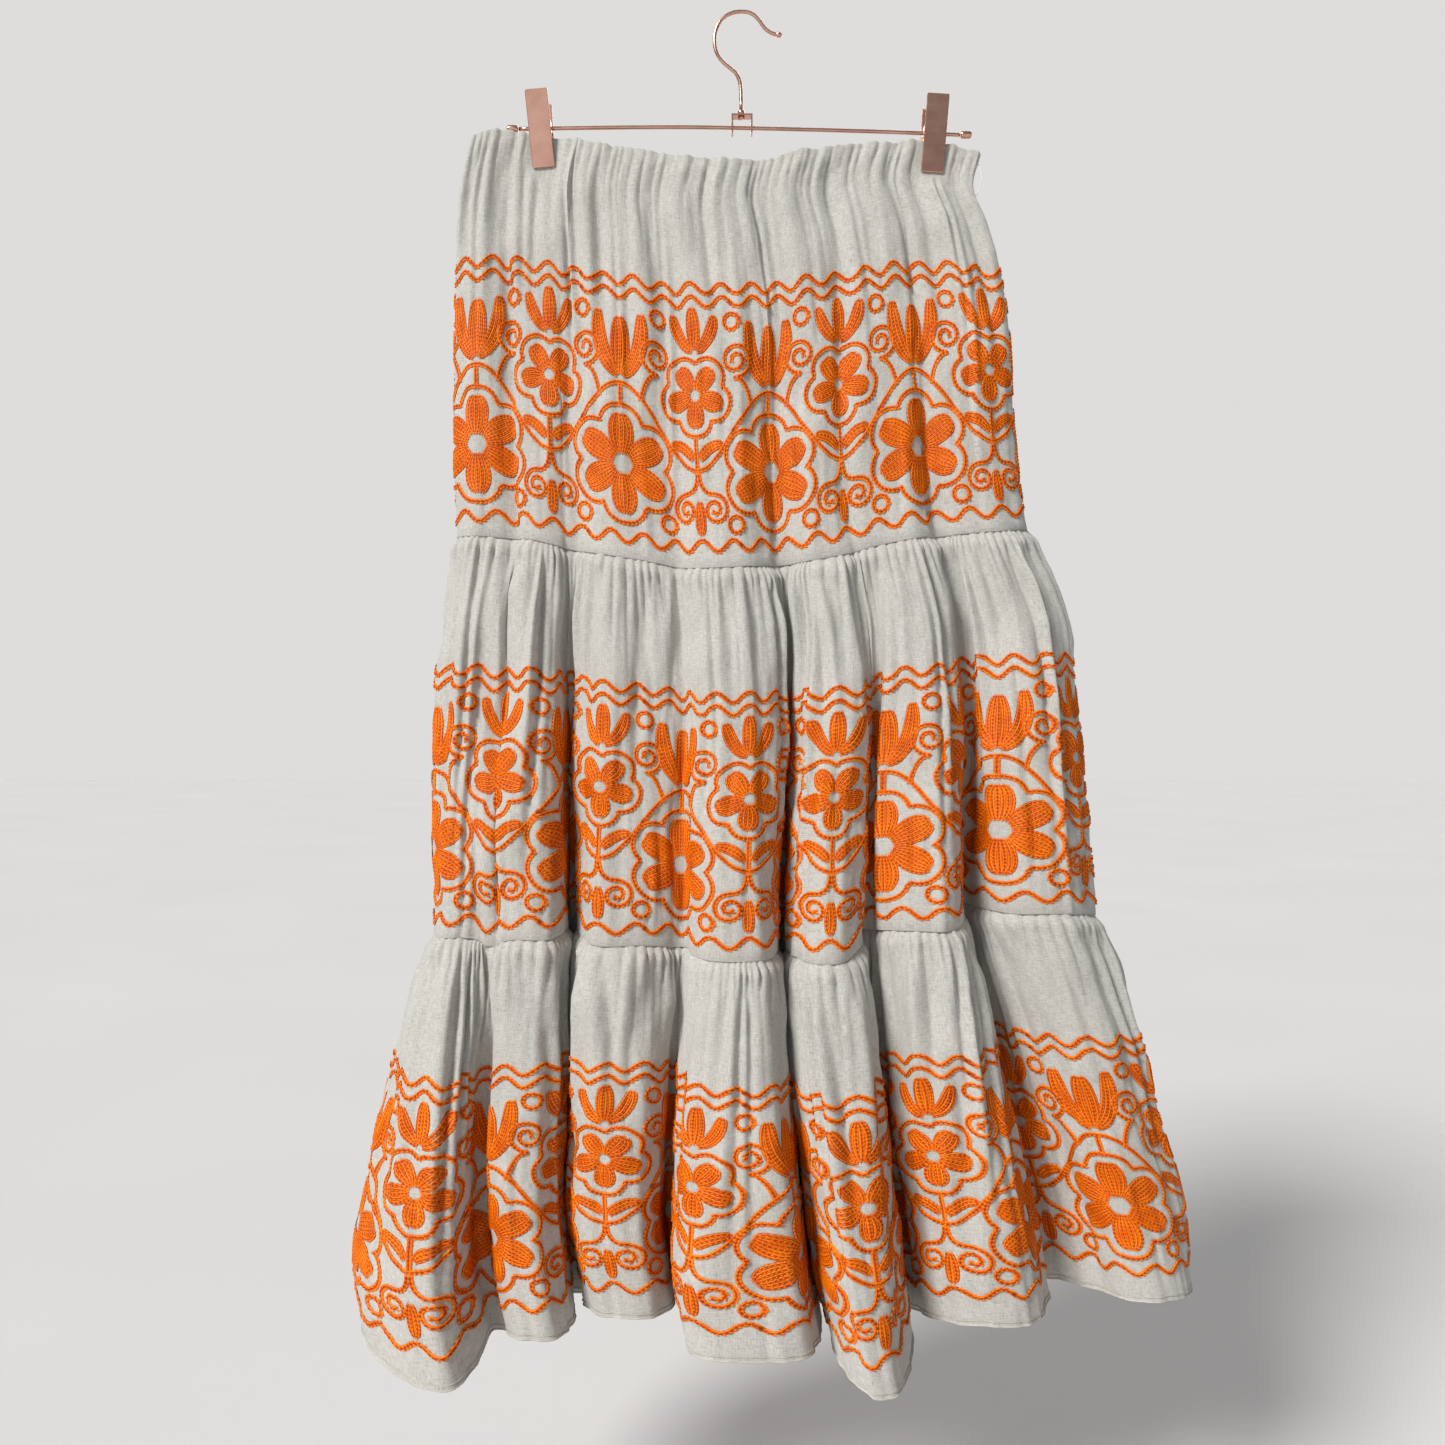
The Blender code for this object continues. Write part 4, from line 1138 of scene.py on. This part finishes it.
class Nodes:
    """Small helper for a material's node tree."""

    def __init__(self, name):
        self.material = bpy.data.materials.new(name)
        self.material.use_nodes = True
        self.tree = self.material.node_tree
        self.shader = self.tree.nodes["Principled BSDF"]

    def coords(self, output):
        return self.tree.nodes.new("ShaderNodeTexCoord").outputs[output]

    def set_shader(self, values):
        for key, value in values.items():
            self.shader.inputs[key].default_value = value

    def link(self, source, target):
        self.tree.links.new(source, target)

    def math(self, operation, a, b):
        node = self.tree.nodes.new("ShaderNodeMath")
        node.operation = operation
        for slot_index, value in enumerate((a, b)):
            if isinstance(value, (int, float)):
                node.inputs[slot_index].default_value = value
            else:
                self.link(value, node.inputs[slot_index])
        return node.outputs[0]

    def mapping(self, source, scale):
        node = self.tree.nodes.new("ShaderNodeMapping")
        node.inputs["Scale"].default_value = scale
        self.link(source, node.inputs["Vector"])
        return node.outputs["Vector"]

    def noise(self, vector, scale, detail=2.0, rough=0.5):
        node = self.tree.nodes.new("ShaderNodeTexNoise")
        node.inputs["Scale"].default_value = scale
        node.inputs["Detail"].default_value = detail
        node.inputs["Roughness"].default_value = rough
        self.link(vector, node.inputs["Vector"])
        return node.outputs["Fac"]

    def streaks(self, coords, scale, detail, rough):
        """Noise drawn out along the cloth or metal."""
        return self.noise(self.mapping(coords, scale), 1.0, detail, rough)

    def ramp(self, source, stops):
        node = self.tree.nodes.new("ShaderNodeValToRGB")
        while len(node.color_ramp.elements) < len(stops):
            node.color_ramp.elements.new(0.5)
        for element, (place, color) in zip(node.color_ramp.elements, stops):
            element.position = place
            element.color = (*color, 1.0)
        self.link(source, node.inputs["Fac"])
        return node.outputs["Color"]

    def mix(self, factor, a, b, blend="MIX"):
        node = self.tree.nodes.new("ShaderNodeMix")
        node.data_type = "RGBA"
        node.blend_type = blend
        for socket, value in ((node.inputs[0], factor), (node.inputs[6], a), (node.inputs[7], b)):
            if isinstance(value, (int, float)):
                socket.default_value = value
            elif isinstance(value, tuple):
                socket.default_value = (*value, 1.0)
            else:
                self.link(value, socket)
        return node.outputs[2]

    def bump(self, height, strength, distance, normal=None):
        node = self.tree.nodes.new("ShaderNodeBump")
        node.inputs["Strength"].default_value = strength
        node.inputs["Distance"].default_value = distance
        self.link(height, node.inputs["Height"])
        if normal is not None:
            self.link(normal, node.inputs["Normal"])
        return node.outputs["Normal"]


def linen_material():
    """Plain-woven linen blend: slubby threads both ways, dark flecks and a soft nap."""
    n = Nodes("linen_cloth")
    coords = n.coords("UV")
    warp = n.streaks(coords, (1500.0, 150.0, 1.0), 2.0, 0.6)
    weft = n.streaks(coords, (140.0, 1400.0, 1.0), 2.0, 0.6)
    slub = n.streaks(coords, (900.0, 60.0, 1.0), 2.0, 0.5)
    slub_across = n.streaks(coords, (60.0, 820.0, 1.0), 2.0, 0.5)
    cloud = n.noise(coords, 14.0, 3.0, 0.5)
    fleck = n.streaks(coords, (900.0, 330.0, 1.0), 1.0, 0.5)
    threads = n.math("MULTIPLY", n.math("ADD", warp, weft), 0.5)
    tone = n.ramp(threads, ((0.32, (0.322, 0.312, 0.284)), (0.50, (0.455, 0.446, 0.419)),
                            (0.68, (0.568, 0.564, 0.545))))
    slubs = n.math("MULTIPLY", n.math("ADD", slub, slub_across), 0.5)
    slub_tone = n.ramp(slubs, ((0.36, (0.90, 0.895, 0.88)), (0.62, (1.03, 1.03, 1.02))))
    tone = n.mix(0.6, tone, slub_tone, "MULTIPLY")
    cloud_tone = n.ramp(cloud, ((0.35, (0.94, 0.935, 0.925)), (0.65, (1.02, 1.02, 1.02))))
    tone = n.mix(1.0, tone, cloud_tone, "MULTIPLY")
    spots = n.ramp(fleck, ((0.63, (0.0, 0.0, 0.0)), (0.70, (1.0, 1.0, 1.0))))
    tone = n.mix(n.math("MULTIPLY", spots, 0.5), tone, (0.24, 0.21, 0.16))
    n.link(tone, n.shader.inputs["Base Color"])
    n.set_shader({"Roughness": 0.92, "Specular IOR Level": 0.18, "Sheen Weight": 0.25,
                  "Sheen Roughness": 0.6})
    normal = n.bump(threads, 0.55, 0.0005)
    normal = n.bump(slubs, 0.35, 0.0006, normal)
    n.link(normal, n.shader.inputs["Normal"])
    return n.material


def thread_material(name, dark, light, roughness):
    """Stitching thread with small shifts of colour and fine fibres."""
    n = Nodes(name)
    coords = n.coords("Object")
    drift = n.noise(coords, 90.0, 2.0, 0.5)
    fibre = n.noise(coords, 2600.0, 2.0, 0.6)
    tone = n.ramp(drift, ((0.30, dark), (0.70, light)))
    fleck = n.ramp(fibre, ((0.30, (0.82, 0.80, 0.78)), (0.70, (1.05, 1.05, 1.05))))
    n.link(n.mix(0.8, tone, fleck, "MULTIPLY"), n.shader.inputs["Base Color"])
    n.set_shader({"Roughness": roughness, "Specular IOR Level": 0.22})
    n.link(n.bump(fibre, 0.4, 0.0003), n.shader.inputs["Normal"])
    return n.material


def rose_gold_material():
    """Polished copper plating with faint wipe marks and specks."""
    n = Nodes("rose_gold_plating")
    coords = n.coords("Object")
    wipe = n.streaks(coords, (60.0, 60.0, 240.0), 3.0, 0.6)
    cloud = n.noise(coords, 70.0, 3.0, 0.5)
    speck = n.noise(coords, 900.0, 1.0, 0.5)
    tone = n.ramp(cloud, ((0.30, (0.640, 0.350, 0.265)), (0.70, (0.760, 0.450, 0.350))))
    spots = n.ramp(speck, ((0.72, (0.0, 0.0, 0.0)), (0.80, (1.0, 1.0, 1.0))))
    tone = n.mix(n.math("MULTIPLY", spots, 0.35), tone, (0.42, 0.22, 0.17))
    n.link(tone, n.shader.inputs["Base Color"])
    n.set_shader({"Metallic": 1.0})
    n.link(n.math("ADD", n.math("MULTIPLY", wipe, 0.16), 0.17), n.shader.inputs["Roughness"])
    n.link(n.bump(wipe, 0.02, 0.0003), n.shader.inputs["Normal"])
    return n.material


def floor_material():
    n = Nodes("studio_floor")
    cloud = n.noise(n.coords("Object"), 1.5, 2.0, 0.5)
    tone = n.ramp(cloud, ((0.2, (0.545, 0.538, 0.532)), (0.8, (0.570, 0.563, 0.557))))
    n.link(tone, n.shader.inputs["Base Color"])
    n.set_shader({"Roughness": 1.0, "Specular IOR Level": 0.0})
    return n.material


# Hanger

HOOK_PATH = ((25.6, -16.3), (22.8, -15.8), (17.2, -12.2), (12.8, -6.4), (8.9, -1.9),
             (4.4, 0.7), (0.0, 1.5), (-4.6, 1.5), (-9.4, 0.5), (-15.3, -2.6), (-20.0, -8.1),
             (-22.5, -14.1), (-23.2, -20.4), (-22.7, -26.9), (-20.4, -33.2), (-16.0, -38.8),
             (-10.5, -43.4), (-6.1, -47.6), (-3.4, -53.4), (-2.4, -61.2), (-2.2, -70.0))
BAR_PATH = ((-178.0, -91.1), (-98.0, -89.9), (-43.0, -89.7), (0.0, -90.4), (44.0, -91.4),
            (107.0, -93.2), (170.5, -95.7))
WIRE_RADIUS = 1.5
WIRE_SIDES = 20
BEAD_LENGTH = 9.0
BEAD_RADIUS = 2.9
BRACKET_TOP = -80.6
SHEET_METAL = 1.3
STEM_X = -2.2
CLIP_WIDTH = 17.6
CLIP_HEIGHT = 57.8
CLIP_FLARE = 9.0
PLATE = 1.3
JAW_Y = 3.7
EAR_HEIGHT = 8.4
EAR_REACH = 2.7


def in_plane(points):
    points = np.asarray(points, float)
    return np.stack([points[:, 0], np.zeros(len(points)), points[:, 1]], 1)


def add_hook(material):
    path = smooth_path(in_plane(HOOK_PATH), 8)
    radii = np.full(len(path), WIRE_RADIUS)
    tip = in_plane([(30.0, -17.2), (29.6, -17.1), (28.7, -16.9), (27.0, -16.6), (26.2, -16.4)])
    tip_radii = [0.5, 1.4, 2.05, 2.2, 1.8]
    collar_foot = BRACKET_TOP + 0.3
    head_top = BRACKET_TOP - SHEET_METAL - 0.3
    stem = in_plane([(STEM_X, -76.6), (STEM_X, -76.7), (STEM_X, -77.3), (STEM_X, collar_foot + 0.3),
                     (STEM_X, collar_foot), (STEM_X, collar_foot - 0.05), (STEM_X, head_top + 0.05),
                     (STEM_X, head_top), (STEM_X, head_top - 1.1), (STEM_X, head_top - 1.6)])
    stem_radii = [1.5, 2.2, 2.6, 2.6, 2.3, 1.5, 1.5, 2.7, 2.6, 1.3]
    points = np.vstack([tip, path, stem])
    radii = np.concatenate([tip_radii, radii, stem_radii])
    mesh = tube_mesh("hook_wire", points, radii, WIRE_SIDES)
    finish_piece("hook_wire", mesh, material, ("hanger_hook",))


def add_bar(material):
    path = smooth_path(in_plane(BAR_PATH), 12)
    mesh = tube_mesh("bar_wire", path, WIRE_RADIUS, WIRE_SIDES)
    finish_piece("bar_wire", mesh, material, ("hanger_bar",))
    shape = ((0.0, 0.55), (0.03, 0.78), (0.10, 0.93), (0.22, 1.0), (0.5, 1.02), (0.78, 1.0),
             (0.90, 0.93), (0.97, 0.74), (1.0, 0.42))
    for side, end, toward in (("left", 0, -1.0), ("right", -1, 1.0)):
        x, z = BAR_PATH[end]
        points = in_plane([(x + toward * (0.3 + BEAD_LENGTH * share), z) for share, _ in shape])
        name = "end_bead_" + side
        mesh = tube_mesh(name, points, [BEAD_RADIUS * size for _, size in shape], WIRE_SIDES)
        finish_piece(name, mesh, material, ("bar_bead_" + side,))


def bar_height(x):
    return float(np.interp(x, [p[0] for p in BAR_PATH], [p[1] for p in BAR_PATH]))


def clip_pivot(clip):
    rise = bar_height(clip.foot_x) - clip.foot_z
    x = clip.foot_x + rise * math.tan(math.radians(clip.lean))
    return x, bar_height(x)


def plate_outline(half, height, radius, steps=5):
    """Flat plate's outline with rounded corners, from its lower middle."""
    points = []
    for cx, cz, start in ((half - radius, radius, -90), (half - radius, height - radius, 0),
                          (-half + radius, height - radius, 90), (-half + radius, radius, 180)):
        for k in range(steps + 1):
            angle = math.radians(start + 90 * k / steps)
            points.append((cx + radius * math.cos(angle), cz + radius * math.sin(angle)))
    return points


def add_clip(clip, material):
    """Two pressed plates with softened edges, each with two ears round the bar."""
    turn = Matrix.Rotation(math.radians(clip.lean), 4, "Y")
    place = Matrix.Translation((clip.foot_x * MM, 0.0, clip.foot_z * MM)) @ turn
    pivot = clip_pivot(clip)[1] - clip.foot_z
    rim = plate_outline(0.5 * CLIP_WIDTH, CLIP_HEIGHT, 1.1)
    for part, facing in (("front", -1.0), ("back", 1.0)):
        shell = bmesh.new()

        def leaned(x, z, depth):
            y = JAW_Y + CLIP_FLARE * z / CLIP_HEIGHT + depth
            return shell.verts.new((x * MM, facing * y * MM, z * MM))

        face = shell.faces.new([leaned(x, z, 0.0) for x, z in rim])
        grown = bmesh.ops.extrude_face_region(shell, geom=[face])
        moved = [v for v in grown["geom"] if isinstance(v, bmesh.types.BMVert)]
        bmesh.ops.translate(shell, verts=moved, vec=(0.0, facing * PLATE * MM, 0.0))
        plate_y = JAW_Y + CLIP_FLARE * (pivot - 0.5 * EAR_HEIGHT) / CLIP_HEIGHT + 0.5 * PLATE
        inset = 0.4 if part == "front" else 0.4 + PLATE + 0.3
        for toward in (-1.0, 1.0):
            low = 0.5 * CLIP_WIDTH - inset - PLATE
            high = 0.5 * CLIP_WIDTH - inset
            steps = 14
            outer = [(facing * plate_y, pivot - 0.5 * EAR_HEIGHT)]
            for k in range(steps + 1):
                angle = math.pi * (k / steps - 0.5)
                outer.append((-facing * EAR_REACH * math.cos(angle),
                              pivot + 0.5 * EAR_HEIGHT * math.sin(angle)))
            outer.append((facing * plate_y, pivot + 0.5 * EAR_HEIGHT))
            sides = []
            for x in (toward * low, toward * high):
                sides.append([shell.verts.new((x * MM, y * MM, z * MM)) for y, z in outer])
            shell.faces.new(sides[0])
            shell.faces.new(sides[1][::-1])
            for k in range(len(outer)):
                m = (k + 1) % len(outer)
                shell.faces.new((sides[0][k], sides[1][k], sides[1][m], sides[0][m]))
        bmesh.ops.recalc_face_normals(shell, faces=shell.faces)
        name = clip.name + "_plate_" + part
        mesh = mesh_of(name, shell)
        mesh.transform(place)
        item = finish_piece(name, mesh, material, (clip.name + "_" + part,))
        rounding = item.modifiers.new("rounding", "BEVEL")
        rounding.width = 0.5 * MM
        rounding.segments = 3
        rounding.limit_method = "ANGLE"
        rounding.angle_limit = math.radians(50.0)


def add_spring(clip, material):
    """Coil round the bar with a leg up to each plate."""
    middle, z = clip_pivot(clip)
    turns = 2.5
    pitch = 2.4
    radius = 3.0
    leg = 12.0
    reach = 0.5 * turns * pitch
    rise = z + leg - clip.foot_z
    leg_y = JAW_Y + CLIP_FLARE * rise / CLIP_HEIGHT - 0.5 - 0.3
    points = [(middle - reach, -leg_y, z + leg),
              (middle - reach, -0.5 * (leg_y + radius), z + 0.55 * leg)]
    for step in range(61):
        angle = TAU * turns * step / 60
        points.append((middle - reach + 2.0 * reach * step / 60, -radius * math.cos(angle),
                       z - radius * math.sin(angle)))
    points.append((middle + reach, 0.5 * (leg_y + radius), z + 0.55 * leg))
    points.append((middle + reach, leg_y, z + leg))
    mesh = tube_mesh(clip.name + "_coil", smooth_path(points, 2), 0.5, 10)
    finish_piece(clip.name + "_coil", mesh, material, (clip.name + "_spring",))


def keep_node(name, material):
    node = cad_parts[name]
    node.data.materials.clear()
    node.data.materials.append(material)


# Scene


# The photo's frame is 1445 pixels wide, and the camera stands 1 m in front of the hanger
FRAME_PIXELS = 1445.0
FOCAL_PIXELS = 1265.8
SENSOR = 36.0
CAMERA_PLACE = (-0.016985, -1.0, -0.559952)
FLOOR_Z = -1.25
FLOOR_HALF = 14.0


def add_camera():
    data = bpy.data.cameras.new("camera")
    data.sensor_width = SENSOR
    data.lens = SENSOR * FOCAL_PIXELS / FRAME_PIXELS
    data.clip_start = 0.01
    data.clip_end = 100.0
    camera = link_object("camera", data)
    camera.location = CAMERA_PLACE
    camera.rotation_euler = (0.5 * math.pi, 0.0, 0.0)
    bpy.context.scene.camera = camera


def add_light(name, place, target, size, power):
    data = bpy.data.lights.new(name, "AREA")
    data.shape = "RECTANGLE"
    data.size, data.size_y = size
    data.energy = power
    light = link_object(name, data)
    light.location = place
    away = np.array(place) - np.array(target)
    heading = math.atan2(away[0], -away[1])
    tilt = math.atan2(math.hypot(away[0], away[1]), away[2])
    light.rotation_euler = (tilt, 0.0, heading)


def add_sun(name, energy, spread, turn, tint):
    data = bpy.data.lights.new(name, "SUN")
    data.energy = energy
    data.angle = math.radians(spread)
    data.color = tint
    light = link_object(name, data)
    light.rotation_euler = [math.radians(value) for value in turn]


def add_stage():
    shell = bmesh.new()
    bmesh.ops.create_grid(shell, x_segments=8, y_segments=8, size=FLOOR_HALF,
                          matrix=Matrix.Translation((0.0, 0.0, FLOOR_Z)))
    mesh = mesh_of("floor", shell)
    floor = link_object("floor", mesh)
    mesh.materials.append(floor_material())
    world = bpy.data.worlds.new("studio")
    bpy.context.scene.world = world
    world.use_nodes = True
    tree = world.node_tree
    seen = tree.nodes["Background"]
    seen.inputs["Color"].default_value = (0.86, 0.85, 0.84, 1.0)
    seen.inputs["Strength"].default_value = 0.85
    ambient = tree.nodes.new("ShaderNodeBackground")
    ambient.inputs["Color"].default_value = (0.93, 0.94, 0.96, 1.0)
    ambient.inputs["Strength"].default_value = 0.28
    rays = tree.nodes.new("ShaderNodeLightPath")
    choose = tree.nodes.new("ShaderNodeMixShader")
    tree.links.new(rays.outputs["Is Camera Ray"], choose.inputs["Fac"])
    tree.links.new(ambient.outputs["Background"], choose.inputs[1])
    tree.links.new(seen.outputs["Background"], choose.inputs[2])
    tree.links.new(choose.outputs["Shader"], tree.nodes["World Output"].inputs["Surface"])
    add_sun("key", 3.95, 18.0, (52.0, 0.0, -42.0), (1.0, 0.99, 0.97))
    add_sun("rear", 1.7, 40.0, (60.0, 0.0, 168.0), (1.0, 1.0, 1.0))
    add_light("panel", (-0.75, -2.7, 0.15), (-0.15, 0.0, -0.1), (1.0, 1.5), 3.0)
    bpy.context.scene.view_settings.view_transform = "Standard"


add_camera()
add_stage()

linen = linen_material()
orange = thread_material("orange_thread", (0.76, 0.140, 0.001), (0.90, 0.220, 0.001), 0.5)
# Darker orange: painted shade in the loops' hollows and in the gaps between rows of stitches
painted_shade_orange = thread_material("orange_thread_painted_shade", (0.42, 0.042, 0.001), (0.54, 0.066, 0.001), 0.6)
hem_thread = thread_material("hem_thread", (0.42, 0.40, 0.36), (0.58, 0.56, 0.51), 0.8)
pale_thread = thread_material("pale_thread", (0.72, 0.70, 0.66), (0.82, 0.80, 0.76), 0.6)
rose_gold = rose_gold_material()

sheets = {}
for number, panel in enumerate(PANELS):
    sheet = Sheet(panel, number + 1)
    sheets[panel.name] = sheet
    add_sheet(sheet, linen)
    pitches = FRONT_PITCHES if panel.front else BACK_PITCHES
    add_stitching(sheet, (orange, painted_shade_orange), *pitches)
    if panel.level == SEAM_2:
        add_hem(sheet, hem_thread)
add_loop(pale_thread)

add_hook(rose_gold)
add_bar(rose_gold)
for clip in CLIPS:
    add_clip(clip, rose_gold)
    add_spring(clip, rose_gold)
keep_node("hook_bracket", rose_gold)

for panel in PANELS:
    sheet = sheets[panel.name]
